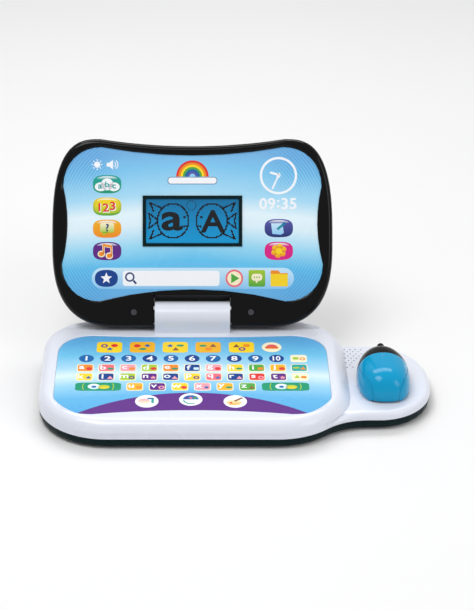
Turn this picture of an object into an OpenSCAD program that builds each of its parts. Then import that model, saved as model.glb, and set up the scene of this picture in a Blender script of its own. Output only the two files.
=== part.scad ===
// Toy laptop computer with a fold-down screen and a captive mouse on a side platform.
// Millimetres. +X right, +Y to the back, +Z up. The origin is the centre of the main
// body on the surface it stands on. The lid is drawn open, as the toy is used.

/* [Base] */
// Half of the main body's width
base_half_w = 133.5; // [131:0.5:136]
// Height of the deck at its front edge
deck_front_z = 26; // [26:0.5:28]
// Slope of the deck, rising to the back
deck_tilt = 2.5; // [2:0.25:3]
// Height of the joint between the bottom and the top shell
seam_z = 10; // [9:0.5:10.5]
// Radius of the rounded shoulder of the top shell
shoulder_r = 7.5; // [6.5:0.5:7.5]
// Wall thickness of the moulded shells
wall = 2.2; // [2:0.1:2.6]
// Height of the rubber feet
foot_h = 1.5; // [1:0.25:2.5]

/* [Mouse platform] */
// Height of the platform's top face
platform_z = 17; // [16.5:0.25:18]
// Radius of the platform's rounded edge
platform_r = 5; // [4:0.5:6]
// Across the centre of the mouse
mouse_x = 167; // [165:0.5:168]
// Front to back place of the mouse's centre
mouse_y = -8; // [-9:0.5:-6]

/* [Mouse] */
// Half width of the mouse
mouse_half_w = 23; // [22:0.5:24]
// Half length of the mouse
mouse_half_l = 36; // [35:0.5:37]
// Height of the mouse's top above the platform
mouse_h = 26; // [25.5:0.5:27]
// Travel of the mouse each way from the centre
mouse_travel = 3; // [2:0.5:3]
// Travel of the click cover
click_travel = 1.5; // [1:0.25:1.5]

/* [Lid] */
// Angle by which the open lid leans back from upright
lid_lean = 27; // [25:1:30]
// Distance from the hinge axis to the lid's front face
lid_front = 9; // [8.5:0.25:9]
// Distance from the hinge axis to the lid's back face
lid_back = 11.3; // [11:0.1:11.5]
// Height of the hinge axis
hinge_z = 42.2; // [42:0.1:44]
// Front to back place of the hinge axis
hinge_y = 72; // [71:0.5:73]
// Half width of the hinge housing
housing_half_w = 34; // [32:0.5:35]
// Outer radius of the hinge housing
housing_r = 13.5; // [13:0.25:14]
// Radius of the hinge pins
pin_r = 3; // [2.5:0.25:3.5]

/* [Screen] */
// Width of the display's frame
lcd_w = 90; // [88:1:92]
// Height of the display's frame
lcd_h = 46; // [44:1:48]
// Height of the display's centre above the hinge axis
lcd_v = 86; // [84:1:88]

/* [Batteries] */
// Diameter of an AA cell
cell_d = 14.5; // [14.2:0.1:14.5]
// Length of an AA cell with its terminal
cell_l = 50.5; // [50:0.1:50.5]

/* [Hidden] */

$fn = 48;
film = 0.23;           // one film of the keyboard membrane
film_gap = 0.02;       // gap between stacked films
body_gap = 0.3;        // clearance between moving bodies
run_gap = 0.05;        // radial clearance of a running fit
screw_r = 1.45;        // shank of the self-tapping screws
screw_head_r = 2.7;
corner_steps = 8;      // points on each rounded corner of an outline
edge_steps = 5;        // points on each bowed edge between corners
lid_wall = 2;
deck_pocket = 1.2;     // depth of the pocket that holds the keyboard overlay
ledge = 5;             // width of the ledge under the overlay's rim
part_w = -1;           // joint between the lid's two shells, from the hinge axis
face_w = 5;            // back of the screen faceplate, from the hinge axis
face_t = 1.8;
notch_half_w = 36;
notch_top = 19;

// Corners are [centre x, centre y, x radius, y radius, exponent]; exponent 2 is an ellipse.
base_rear = [80, 45, base_half_w - 80, 45, 2];
base_front = [72, -30, base_half_w - 72, 62, 2];
film_rear = [88, 24, 31.5, 31, 2.2];
film_front = [85, -44, 34.5, 32.3, 2.2];
lid_top = [83.5, 69, 43.5, 91.5, 2.9];
lid_foot = [62, 69, 65, 79, 2.8];
face_top = [82, 117.5, 34.8, 35.5, 2.1];
face_foot = [84, 47, 34, 33.7, 2.1];
blend_front = -48;     // angles on the right-hand corners where the platform's blends begin
blend_rear = 42;
platform_tip = 16;     // first point of the platform's rear half in its outline

function power(b, e) = b <= 0 ? 0 : pow(b, e);

// One rounded corner in quadrant q, reduced by d, always walked anticlockwise.
function corner(c, q, d) = [for (i = [0:corner_steps])
    let (t = 90 * i / corner_steps, a = (q % 2 == 0) ? t : 90 - t,
         x = c[0] + (c[2] - d) * power(cos(a), 2 / c[4]),
         y = (c[3] - d) * power(sin(a), 2 / c[4]))
    [(q == 0 || q == 3) ? x : -x, c[1] + (q < 2 ? y : -y)]];

// Points of a bowed edge between two outline points, sagging by s at its middle.
function bow(a, b, s, along_x) = s == 0 ? [] : [for (i = [1:edge_steps])
    let (u = i / (edge_steps + 1), k = 4 * u * (1 - u) * s)
    a + (b - a) * u + (along_x ? [0, k] : [k, 0])];

// A closed outline with four rounded corners and bowed edges; d moves it inwards.
function lobed(rear, front, d, rear_sag, front_sag, side_sag) =
    let (a = corner(rear, 0, d), b = corner(rear, 1, d),
         c = corner(front, 2, d), e = corner(front, 3, d))
    concat(a, bow(a[corner_steps], b[0], rear_sag, true),
           b, bow(b[corner_steps], c[0], -side_sag, false),
           c, bow(c[corner_steps], e[0], front_sag, true),
           e, bow(e[corner_steps], a[0], side_sag, false));

function overlay_ring(d) = lobed(film_rear, film_front, d, -2.7, 6.3, 0);
function lid_ring(d) = lobed(lid_top, lid_foot, d, -6.5, 0, 0);
function face_ring(d) = lobed(face_top, face_foot, d, -7.6, 10.8, -4.4);

function curve(a, b, c) = [for (i = [0:6]) let (u = i / 6)
    a * (1 - u) * (1 - u) + b * 2 * u * (1 - u) + c * u * u];

// Points along one rounded corner of the main body, d inside its wall.
function wall_arc(c, t0, t1, n, d) = [for (i = [0:n - 1]) let (t = t0 + (t1 - t0) * i / (n - 1))
    [c[0] + (c[2] - d) * cos(t), c[1] + (c[3] - d) * sin(t)]];

// The platform's outline, with concave blends into the main body at its front and back.
function platform_part(dp, db) = concat(
    curve(wall_arc(base_front, blend_front, 0, 2, db)[0], [130 - 0.8 * dp, -60.5 + dp],
          [152, -60.5 + dp]),
    [for (i = [0:corner_steps]) let (t = 90 * i / corner_steps - 90)
        [160 + (48.5 - dp) * cos(t), -6 + (54.5 - dp) * sin(t)]],
    [for (i = [0:corner_steps]) let (t = 90 * i / corner_steps)
        [160 + (48.5 - dp) * cos(t), 6 + (58 - dp) * sin(t)]],
    curve([148, 64 - dp], [131.7 - 0.8 * dp, 64 - dp],
          wall_arc(base_rear, 0, blend_rear, 2, db)[1]));

// As many points along the main body's own right-hand wall, behind the platform.
function wall_part(d) = concat(wall_arc(base_front, blend_front, 0, corner_steps * 2, d),
                               wall_arc(base_rear, 0, blend_rear, corner_steps * 2, d));

// The rest of the main body's outline.
function base_part(d) = concat(wall_arc(base_rear, blend_rear + 6, 90, 5, d),
                               corner(base_rear, 1, d), corner(base_front, 2, d),
                               wall_arc(base_front, -90, blend_front - 6, 5, d));

function deck_z(y) = deck_front_z + (y + 70) * tan(deck_tilt);
function at_z(ring, z) = [for (p = ring) [p[0], p[1], z]];
function under_deck(ring, drop) = [for (p = ring) [p[0], p[1], deck_z(p[1]) - drop]];

// Triangles across a ring of n points, paired outwards from points tip - 1 and tip.
function cap(n, tip) = [for (k = [0:n / 2 - 2])
    let (f = (tip - 1 - k + n) % n, g = (tip - 2 - k + n) % n, r = (tip + k) % n, q = (tip + k + 1) % n)
    each [[g, f, r], [g, r, q]]];

// A closed solid through a stack of rings with equal point counts, lowest first.
// With a tip, the ends are closed by strips, which suit an outline with concave blends.
module loft(rings, tip = -1) {
    n = len(rings[0]);
    k = len(rings);
    sides = [for (j = [0:k - 2], i = [0:n - 1]) each
        [[j * n + i, (j + 1) * n + i, (j + 1) * n + (i + 1) % n],
         [j * n + i, (j + 1) * n + (i + 1) % n, j * n + (i + 1) % n]]];
    foot = tip < 0 ? [[for (i = [0:n - 1]) i]] : cap(n, tip);
    head = [for (f = foot) [for (i = [len(f) - 1:-1:0]) f[i] + (k - 1) * n]];
    polyhedron(points = [for (r = rings) each r], faces = concat(foot, sides, head));
}

module slab(ring, z0, z1) {
    translate([0, 0, z0]) linear_extrude(z1 - z0) polygon(ring);
}

module x_rod(r, x0, x1) {
    translate([x0, 0, 0]) rotate([0, 90, 0]) cylinder(r = r, h = x1 - x0);
}

module box(x0, x1, y0, y1, z0, z1) {
    translate([x0, y0, z0]) cube([x1 - x0, y1 - y0, z1 - z0]);
}

module both_sides() {
    children();
    mirror([1, 0, 0]) children();
}

// Puts children on the sloping deck, with z = 0 on its surface.
module on_deck() {
    translate([0, -70, deck_front_z]) rotate([deck_tilt, 0, 0]) translate([0, 70, 0]) children();
}

// Puts children on the open lid: x across, y up the lid and z out of its front face.
module on_lid() {
    translate([0, hinge_y, hinge_z]) rotate([90 - lid_lean, 0, 0]) children();
}

module at_bay() {
    translate([bay_x, 0, 0]) children();
}

module at_mouse() {
    translate([mouse_x, mouse_y, 0]) children();
}

// A coil spring along +Z from its foot, swept with a six-sided wire.
module coil(r, wire_r, length, turns) {
    per_turn = 9;
    n = per_turn * turns;
    rise = length - 2 * wire_r;
    rings = [for (i = [0:n]) let (t = 360 * i / per_turn, z = wire_r + rise * i / n)
        [for (j = [0:5]) let (u = 60 * j, q = r + wire_r * cos(u))
            [q * cos(t), q * sin(t), z - wire_r * sin(u)]]];
    loft(rings);
}

// Screw standing on its head at the origin, pointing up.
module screw(length, head_h = 1.8) {
    difference() {
        union() {
            cylinder(r = screw_head_r, h = head_h);
            cylinder(r = screw_r, h = length);
        }
        box(-2, 2, -0.4, 0.4, -1, 0.6);
        box(-0.4, 0.4, -2, 2, -1, 0.6);
    }
}

/* ---- base ---- */

base_screw_at = [[122, -15], [-122, -15], [60, -80.5], [-60, -80.5], [62, 69], [-62, 69],
                 [165, -48], [182, 44]];
foot_at = [[0, 0], [96, -62], [-96, -62], [96, 66], [-96, 66], [180, 0]];
cell_pitch = 15.5;
cell_z = foot_h + wall + 0.4 + cell_d / 2;
cell_y = 12;
bay_x = 45;
bay_half_x = 30;
bay_half_y = 25;
door_gap = 0.3;
floor_z = foot_h + wall;

function boss_top(p) = (p[0] > 140 ? platform_z : deck_z(p[1])) - wall + 0.8;

// The bottom shell's outer form, reduced by inset; its foot is rounded inwards.
bilge = [[3.6, 0], [1.3, 1.5], [0.3, 4.5]];

module bottom_solid(inset) {
    z = foot_h + inset;
    loft(concat([for (b = bilge) let (d = b[0] + inset)
                    at_z(concat(platform_part(d, d), base_part(d)), z + b[1])],
                [at_z(concat(platform_part(inset, inset), base_part(inset)),
                      seam_z + (inset > 0 ? 1 : 0))]), platform_tip);
}

door_tab = 9;
board_post_at = [[-104, -34], [-104, 30], [-46, -34], [-46, 30]];

module base_bottom_shell() {
    y0 = cell_y - bay_half_y;
    y1 = cell_y + bay_half_y;
    color([0.07, 0.16, 0.17]) difference() {
        union() {
            difference() {
                bottom_solid(0);
                bottom_solid(wall);
            }
            at_bay() box(-bay_half_x - 1.5, bay_half_x + 1.5, y0 - 1.5, y1 + 1.5,
                         floor_z - 0.5, 14.7);
            for (p = base_screw_at) translate([p[0], p[1], floor_z - 0.5])
                cylinder(r = 4.2, h = 3);
            for (p = board_post_at) translate([p[0], p[1], floor_z - 0.5])
                cylinder(r = 3, h = 9.5 - floor_z);
            at_bay() translate([0, y1 + door_tab / 2, floor_z - 0.5]) cylinder(r = 4, h = 7);
            at_mouse() for (y = [-26.4, 24.4])
                box(-3, 3, y, y + 2, floor_z - 0.5, 12.5);
        }
        at_bay() {
            box(-bay_half_x, bay_half_x, y0, y1, 0, 30);
            box(-8, 8, y1 - 1, y1 + door_tab, 0, foot_h + 1.5);
            translate([0, y1 + door_tab / 2, 0]) cylinder(r = screw_r + 0.05, h = 9.8);
        }
        for (p = board_post_at) translate([p[0], p[1], floor_z]) cylinder(r = 1.2, h = 20);
        for (p = base_screw_at) translate([p[0], p[1], 0]) {
            cylinder(r = 1.6, h = 20);
            cylinder(r = 3.2, h = foot_h + 2);
        }
    }
}

module battery_door() {
    y0 = cell_y - bay_half_y;
    y1 = cell_y + bay_half_y;
    color([0.07, 0.16, 0.17]) at_bay() difference() {
        union() {
            box(-bay_half_x + door_gap, bay_half_x - door_gap, y0 + door_gap, y1 - door_gap,
                foot_h, foot_h + 2);
            box(-8 + door_gap, 8 - door_gap, y1 - 4, y1 + door_tab - door_gap,
                foot_h, foot_h + 1.45);
        }
        translate([0, y1 + door_tab / 2, 0]) {
            cylinder(r = 1.6, h = 20);
            cylinder(r = 2.9, h = foot_h + 1);
        }
        for (i = [-2:2]) box(i * 7 - 1, i * 7 + 1, y0 + 5, y0 + 17, 0, foot_h + 0.5);
    }
}

module battery_door_screw() {
    color("silver") at_bay() translate([0, cell_y + bay_half_y + door_tab / 2, foot_h + 0.1])
        screw(8, 0.9);
}

module battery_cells() {
    at_bay() for (i = [-1:1]) translate([-cell_l / 2, cell_y + i * cell_pitch - 0.4, cell_z])
        mirror([i == 0 ? 1 : 0, 0, 0]) translate([i == 0 ? -cell_l : 0, 0, 0]) {
            color([0.16, 0.17, 0.2]) x_rod(cell_d / 2, 0, cell_l - 1.4);
            color("silver") x_rod(2.7, cell_l - 1.5, cell_l);
        }
}

module battery_contacts() {
    color("silver") at_bay() both_sides() for (i = [-1:1])
        translate([cell_l / 2 + 0.1, cell_y + i * cell_pitch - 0.4, cell_z]) {
            translate([2.8, 0, 0]) box(0, 0.6, -6, 6, -6, 6.5);
            x_rod(3, 0, 2.9);
        }
}

// Lowers a run's two end points a little, where the platform dies into the wall.
function end_dip(run) = [for (i = [0:len(run) - 1])
    run[i] - [0, 0, i == 0 || i == len(run) - 1 ? 0.4 : 0]];

// The top shell's outer form, reduced by inset: walls, platform, then the main body's shoulder.
module top_solid(inset) {
    foot = seam_z - (inset > 0 ? 1 : 0);
    top = platform_z - inset;
    edge_r = platform_r - min(inset, 2);
    rim = [for (i = [0:3]) let (a = 30 * i)
        [edge_r * (1 - cos(a)) + inset, top - edge_r * (1 - sin(a))]];
    r = shoulder_r - inset;
    shoulder = [for (i = [0:4]) let (a = 22.5 * i)
        [r * (1 - cos(a)) + inset, shoulder_r - r * sin(a)]];
    loft(concat([at_z(concat(platform_part(inset, inset), base_part(inset)), foot)],
        [for (i = [0:3]) concat(end_dip(at_z(platform_part(rim[i][0], inset), rim[i][1])),
                                at_z(base_part(inset), foot + (top - foot) * (i + 1) / 5))],
        [at_z(concat(wall_part(inset), base_part(inset)), top)],
        [for (s = shoulder) under_deck(concat(wall_part(s[0]), base_part(s[0])), s[1])]),
        platform_tip);
}

speaker_c = [144, 40];
speaker_hole_r = 0.75;
hole_pitch = 5.6;

module speaker_holes() {
    for (row = [0:7], k = [0:4]) let (x = 132.6 + k * hole_pitch + (row % 2) * hole_pitch / 2,
        y = 55 - row * 4.6)
        if (abs(x - 143) < 14.5 - row * 0.9 && x < 157)
            translate([x, y, platform_z - wall - 1]) cylinder(r = speaker_hole_r, h = 6, $fn = 16);
}

module base_top_shell() {
    color([0.9, 0.91, 0.96]) difference() {
        union() {
            difference() {
                top_solid(0);
                top_solid(wall);
            }
            both_sides() box(housing_half_w, 100, hinge_y - 8, hinge_y + 8, 28.4, 30.4);
            for (p = base_screw_at) translate([p[0], p[1], floor_z + 3])
                cylinder(r = 3.4, h = boss_top(p) - floor_z - 3);
        }
        on_deck() slab(overlay_ring(0), -deck_pocket, 20);
        on_deck() slab(overlay_ring(ledge), -20, 0);
        both_sides() translate([0, hinge_y, hinge_z])
            x_rod(lid_back + body_gap, housing_half_w - 1, 112);
        box(-housing_half_w - 0.1, housing_half_w + 0.1, hinge_y - housing_r - 0.1,
            hinge_y + housing_r - 0.4, 25, 50);
        for (p = base_screw_at) translate([p[0], p[1], floor_z])
            cylinder(r = screw_r + 0.05, h = 9.2);
        speaker_holes();
        at_mouse() box(-11, 11, -11, 11, platform_z - wall - 1, platform_z + 1);
    }
}

module main_circuit_board() {
    color([0.1, 0.35, 0.2]) difference() {
        box(-108, -42, -38, 34, 9, 10.6);
        for (p = board_post_at) translate([p[0], p[1], 0]) cylinder(r = 1.6, h = 20);
    }
}

module controller_chip() {
    color("black") translate([-75, -5, 10.6]) {
        cylinder(r = 8, h = 1.2);
        translate([18, 14, 0]) box(-5, 5, -5, 5, 0, 1.6);
    }
}

module speaker_basket() {
    color([0.35, 0.36, 0.38]) translate([speaker_c[0], speaker_c[1], 0]) difference() {
        union() {
            translate([0, 0, 12.2]) cylinder(r = 15, h = 2.4);
            translate([0, 0, 8.6]) cylinder(r1 = 9.5, r2 = 13.5, h = 3.7);
        }
        translate([0, 0, 9.8]) cylinder(r1 = 8.6, r2 = 13.2, h = 5);
        translate([0, 0, 8]) cylinder(r = 4, h = 4);
    }
}

module speaker_cone() {
    color([0.12, 0.12, 0.13]) translate([speaker_c[0], speaker_c[1], 0]) difference() {
        translate([0, 0, 11.2]) cylinder(r1 = 4, r2 = 12, h = 2.6);
        translate([0, 0, 11.8]) cylinder(r1 = 4, r2 = 12, h = 2.7);
    }
}

module speaker_magnet() {
    color([0.25, 0.25, 0.27]) translate([speaker_c[0], speaker_c[1], 4.4]) cylinder(r = 9, h = 4.2);
}

module keyboard_overlay() {
    color([0.35, 0.7, 0.95]) on_deck() slab(overlay_ring(0.15), -deck_pocket, -deck_pocket + 0.5);
}

module membrane(level, inset) {
    z = -deck_pocket - film_gap - level * (film + film_gap);
    on_deck() slab(overlay_ring(inset), z - film, z);
}

module membrane_top_film() {
    color([0.8, 0.85, 0.8]) membrane(0, ledge + 0.3);
}

module membrane_spacer_film() {
    color([0.9, 0.9, 0.9]) membrane(1, ledge + 0.3);
}

module membrane_bottom_film() {
    color([0.7, 0.8, 0.75]) membrane(2, ledge + 0.3);
}

module keyboard_support_plate() {
    top = -deck_pocket - 3 * (film + film_gap) - film_gap;
    color([0.85, 0.86, 0.88]) on_deck() difference() {
        union() {
            slab(overlay_ring(ledge + 0.3), top - 0.5, top);
            slab(overlay_ring(ledge - 3), top - 2.2, top - 0.5);
        }
        for (x = [-95:38:95], y = [-52:26:40]) translate([x, y, top - 3])
            cylinder(r = 8, h = 1.6);
    }
}

module base_screws() {
    color("silver") for (p = base_screw_at) translate([p[0], p[1], foot_h + 0.2]) screw(10.5);
}

module rubber_feet() {
    color([0.12, 0.12, 0.12]) for (p = foot_at) translate([p[0], p[1], 0])
        cylinder(r = 6, h = foot_h);
}

/* ---- hinge ---- */

module housing_profile(inset) {
    circle(r = housing_r - inset);
    translate([-housing_r + inset, -15 + inset]) square([2 * housing_r - 0.6 - 2 * inset, 15]);
}

module hinge_housing() {
    cover = housing_half_w - 0.1;
    color([0.9, 0.91, 0.96]) translate([0, hinge_y, hinge_z]) difference() {
        rotate([90, 0, 90]) translate([0, 0, -cover]) linear_extrude(2 * cover) housing_profile(0);
        rotate([90, 0, 90]) translate([0, 0, -cover + 2.5]) linear_extrude(2 * cover - 5)
            housing_profile(2.4);
        box(-26, 26, -8, 8, -16, -10);
        x_rod(pin_r + run_gap, -40, 40);
    }
}

module lid_cable() {
    color([0.15, 0.15, 0.16]) translate([0, hinge_y, hinge_z]) {
        difference() {
            x_rod(1.2, 0, 46);
            x_rod(0.4, -1, 47);
        }
        translate([-1.2, -1.2, -14]) cube([2.4, 2.4, 14.2]);
    }
}

module hinge_pins() {
    color("silver") translate([0, hinge_y, hinge_z]) both_sides() difference() {
        x_rod(pin_r, 31, 48);
        x_rod(1.6, 30, 49);
    }
}

module hinge_washers() {
    color([0.2, 0.2, 0.21]) translate([0, hinge_y, hinge_z]) both_sides() difference() {
        x_rod(6, housing_half_w + 0.2, notch_half_w - 0.1);
        x_rod(pin_r + 0.02, 30, 40);
    }
}

/* ---- lid ---- */

lid_front_screw = [53, 3.6];
lid_back_screw = [92, 142];

// The lid's outer form between its parting plane and one face.
module lid_half(inset, depth, sign) {
    r = 8;
    steps = [for (i = [0:4]) let (a = 22.5 * i)
        [inset + (r - inset) * (1 - cos(a)), depth - inset - (r - inset) * (1 - sin(a))]];
    rings = concat([at_z(lid_ring(inset), sign > 0 ? part_w : -part_w)],
                   [for (s = steps) at_z(lid_ring(s[0]), s[1])]);
    intersection() {
        if (sign > 0) loft(rings);
        else mirror([0, 0, 1]) loft(rings);
        union() {
            box(-140, 140, 0, 170, -20, 20);
            x_rod(lid_back - inset, -140, 140);
        }
    }
}

// Space that the hinge housing turns in; extra leaves the walls around it.
module notch(extra) {
    r = housing_r + 0.7 + extra;
    translate([-notch_half_w - extra, 0, 0]) rotate([90, 0, 90])
        linear_extrude(2 * (notch_half_w + extra)) {
            circle(r = r);
            polygon([[-30, -30], [3 + extra, -30], [3 + extra, -10], [r, 0],
                     [notch_top + extra, lid_front - 1], [notch_top + extra, 30], [-30, 30]]);
        }
}

module lid_back_shell() {
    color([0.03, 0.03, 0.035]) on_lid() difference() {
        union() {
            difference() {
                lid_half(0, lid_back, -1);
                difference() {
                    union() {
                        lid_half(lid_wall, lid_back, -1);
                        slab(lid_ring(lid_wall), part_w - 1, part_w + 1);
                    }
                    notch(lid_wall);
                    box(-140, 140, -30, -lid_back + lid_wall, -30, 30);
                }
                notch(0);
            }
            both_sides() x_rod(6.5, notch_half_w, 49);
            both_sides() translate([lid_front_screw[0], lid_front_screw[1], -lid_back + 1.5])
                cylinder(r = 3.2, h = 8);
            both_sides() translate([lid_back_screw[0], lid_back_screw[1], -lid_back + 1])
                cylinder(r = 4, h = 4.5);
        }
        both_sides() x_rod(pin_r + 0.02, notch_half_w - 1, 50);
        both_sides() translate([lid_front_screw[0], lid_front_screw[1], -lid_back + 2.4])
            cylinder(r = screw_r + 0.05, h = 20);
        both_sides() translate([lid_back_screw[0], lid_back_screw[1], -20]) {
            cylinder(r = 1.6, h = 40);
            cylinder(r = 3, h = 20 - lid_back + 2);
        }
    }
}

module lid_front_bezel() {
    color([0.03, 0.03, 0.035]) on_lid() difference() {
        union() {
            difference() {
                lid_half(0, lid_front, 1);
                difference() {
                    slab(lid_ring(lid_wall + 0.6), part_w - 1, face_w - 2);
                    notch(lid_wall);
                    box(-140, 140, -30, -8.6, -30, 30);
                }
                notch(0);
            }
            both_sides() translate([lid_back_screw[0], lid_back_screw[1], part_w - 2.5])
                cylinder(r = 3.2, h = face_w - part_w + 1);
        }
        slab(face_ring(-0.15), face_w, 20);
        box(-lcd_w / 2 - 4, lcd_w / 2 + 4, lcd_v - lcd_h / 2 - 7, lcd_v + lcd_h / 2 + 7, -5, 8);
        both_sides() x_rod(6.8, notch_half_w - 1, 49.4);
        both_sides() translate([lid_front_screw[0], lid_front_screw[1], 0]) {
            translate([0, 0, -5]) cylinder(r = 1.6, h = 20);
            translate([0, 0, lid_front - 5]) cylinder(r = 3.6, h = 20);
            translate([0, 0, -8]) cylinder(r = 3.5, h = 7);
        }
        both_sides() translate([lid_back_screw[0], lid_back_screw[1], -10])
            cylinder(r = screw_r + 0.05, h = 12);
    }
}

module screen_faceplate() {
    color([0.3, 0.66, 0.93]) on_lid() difference() {
        slab(face_ring(0.15), face_w, face_w + face_t);
        box(-lcd_w / 2 + 2, lcd_w / 2 - 2, lcd_v - lcd_h / 2 + 2, lcd_v + lcd_h / 2 - 2, 0, 10);
    }
}

module lcd_frame() {
    front = face_w + face_t;
    color([0.05, 0.07, 0.1]) on_lid() difference() {
        box(-lcd_w / 2, lcd_w / 2, lcd_v - lcd_h / 2, lcd_v + lcd_h / 2, front, front + 0.9);
        box(-lcd_w / 2 + 3, lcd_w / 2 - 3, lcd_v - lcd_h / 2 + 3, lcd_v + lcd_h / 2 - 3,
            front - 1, front + 2);
    }
}

module lcd_layer(margin, w0, w1) {
    on_lid() box(-lcd_w / 2 - margin, lcd_w / 2 + margin, lcd_v - lcd_h / 2 - margin,
                 lcd_v + lcd_h / 2 + margin, w0, w1);
}

module lcd_window() {
    color([0.7, 0.85, 0.9, 0.4]) lcd_layer(-2.2, face_w - 0.05, face_w + face_t - 0.05);
}

module lcd_glass() {
    color([0.15, 0.6, 0.8]) lcd_layer(0, face_w - 2.3, face_w - 0.1);
}

module lcd_light_guide() {
    color([0.85, 0.9, 0.95]) lcd_layer(-3, face_w - 4.6, face_w - 2.35);
}

module lcd_zebra_strips() {
    color([0.3, 0.3, 0.32]) on_lid() for (s = [-1, 1])
        translate([0, lcd_v + s * (lcd_h / 2 - 1.3), 0])
            box(-40, 40, -1.2, 1.2, face_w - 6.2, face_w - 2.35);
}

module lcd_driver_board() {
    color([0.1, 0.35, 0.2]) lcd_layer(3, face_w - 7.9, face_w - 6.25);
}

module backlight_led() {
    color("white") on_lid() translate([lcd_w / 2 - 1.2, lcd_v, 0])
        box(-1.5, 1.5, -4, 4, face_w - 6.2, face_w - 2.5);
}

module lid_screws() {
    color([0.25, 0.25, 0.27]) on_lid() {
        both_sides() translate([lid_front_screw[0], lid_front_screw[1], lid_front - 3.15])
            rotate([180, 0, 0]) screw(12.5);
        both_sides() translate([lid_back_screw[0], lid_back_screw[1], -lid_back + 0.15]) screw(10.6);
    }
}

/* ---- mouse mechanism ---- */

plate_half_x = 25;
plate_half_y = 17;
plate_z0 = 9.4;
plate_z1 = 11.8;
stem_half = 7;

module carriage_rails() {
    color([0.88, 0.89, 0.92]) at_mouse() both_sides() difference() {
        box(20.5, 28, -22.5, 22.5, 7.4, platform_z - wall);
        box(15, plate_half_x + body_gap, -30, 30, plate_z0 - body_gap, plate_z1 + body_gap);
        box(15, 24.5, -30, 30, plate_z1, 20);
    }
}

module mouse_switch_board() {
    color([0.1, 0.35, 0.2]) at_mouse() box(-19, 19, -19, 19, 3.8, 4.7);
}

module direction_switches() {
    reach = 3.4 + mouse_travel + 0.4;
    color([0.15, 0.15, 0.16]) at_mouse() for (a = [0:90:270]) rotate([0, 0, a])
        box(reach, reach + 5, -2.5, 2.5, 4.7, 6.4);
}

module mouse_y_springs() {
    color("silver") at_mouse() for (a = [0, 180]) rotate([0, 0, a])
        translate([0, plate_half_y + 0.1, (plate_z0 + plate_z1) / 2]) rotate([-90, 0, 0])
            coil(1.6, 0.3, 7, 4);
}

module mouse_carriage() {
    slot_x = stem_half + mouse_travel + body_gap;
    color([0.3, 0.32, 0.34]) at_mouse() difference() {
        union() {
            box(-plate_half_x, plate_half_x, -plate_half_y, plate_half_y, plate_z0, plate_z1);
            both_sides() box(21.5, 23.5, -6, 6, plate_z1 - 0.5, 14.4);
        }
        box(-slot_x, slot_x, -stem_half - body_gap, stem_half + body_gap, 0, 13);
    }
}

module mouse_x_springs() {
    color("silver") at_mouse() both_sides() translate([stem_half + 0.1, 0, 13.3])
        rotate([0, 90, 0]) coil(0.9, 0.25, 14.2, 5);
}

/* ---- mouse ---- */

mouse_z0 = platform_z + 0.6;
mouse_steps = 40;

function mouse_ring(d, z) = [for (i = [0:mouse_steps - 1])
    let (t = 360 * i / mouse_steps, c = cos(t), s = sin(t), e = s < 0 ? 2 / 2.7 : 2 / 2.2)
    [(mouse_half_w - d) * sign(c) * power(abs(c), e),
     (mouse_half_l - d) * sign(s) * power(abs(s), e), z]];

// The mouse's whole outer form, reduced by d.
module mouse_form(d) {
    h = mouse_h - 5.6 - d;
    dome = [for (i = [1:6]) let (a = 14.2 * i)
        mouse_ring(d + (mouse_half_w - d) * (1 - power(cos(a), 0.8)),
                   mouse_z0 + 5 + h * power(sin(a), 0.9))];
    foot = mouse_ring(d + 1.2, mouse_z0 - (d > 0 ? 1 : 0));
    loft(concat([foot, mouse_ring(d, mouse_z0 + 3.5)], dome));
}

module ellipse(rx, ry, y) {
    translate([0, y]) polygon([for (i = [0:71]) [rx * cos(5 * i), ry * sin(5 * i)]]);
}

// Plan region in front of the nose trim, and the region of the two side grips.
nub_z = 36;            // axis of the cord nub behind the mouse

module front_region(gap) {
    ellipse(32.6 - gap, 17 - gap, -6);
    translate([-40, -50]) square([80, 44]);
}

module grip_region(gap) {
    difference() {
        translate([-40, -50]) square([80, 54 - gap]);
        ellipse(21.8 + gap, 56 + gap, 14);
    }
}

module mouse_skin() {
    difference() {
        mouse_form(0);
        mouse_form(2);
    }
}

module mouse_click_cover() {
    color([0.12, 0.6, 0.85]) at_mouse() {
        intersection() {
            mouse_skin();
            translate([0, 0, mouse_z0 + click_travel]) linear_extrude(40) difference() {
                front_region(0);
                grip_region(-0.15);
            }
        }
        translate([0, -10, 34.9]) cylinder(r = 2.4, h = 7.1);
        translate([0, 8, 33]) cylinder(r = 5.2, h = 1.6);
        translate([0, 8, 30.5]) cylinder(r = 2.2, h = 10.8);
    }
}

module grips() {
    intersection() {
        mouse_skin();
        linear_extrude(60) intersection() {
            grip_region(0.15);
            front_region(0);
        }
    }
}

module mouse_left_grip() {
    color([0.2, 0.63, 0.88]) at_mouse() intersection() {
        grips();
        box(-40, 0, -60, 60, 0, 60);
    }
}

module mouse_right_grip() {
    color([0.2, 0.63, 0.88]) at_mouse() intersection() {
        grips();
        box(0, 40, -60, 60, 0, 60);
    }
}

module mouse_nose_trim() {
    color([0.04, 0.04, 0.045]) at_mouse() difference() {
        mouse_skin();
        translate([0, 0, -1]) linear_extrude(60) front_region(-body_gap);
        box(-40, 40, -60, -6, 0, 60);
        translate([0, 20, nub_z]) rotate([-90, 0, 0]) cylinder(r = 3.3, h = 30);
    }
}

module mouse_cord_nub() {
    color([0.05, 0.05, 0.055]) at_mouse() translate([0, 25, nub_z]) rotate([-90, 0, 0]) {
        cylinder(r = 3.2, h = 8.6);
        translate([0, 0, 8.5]) cylinder(r1 = 3.2, r2 = 2.2, h = 1.3);
    }
}

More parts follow.
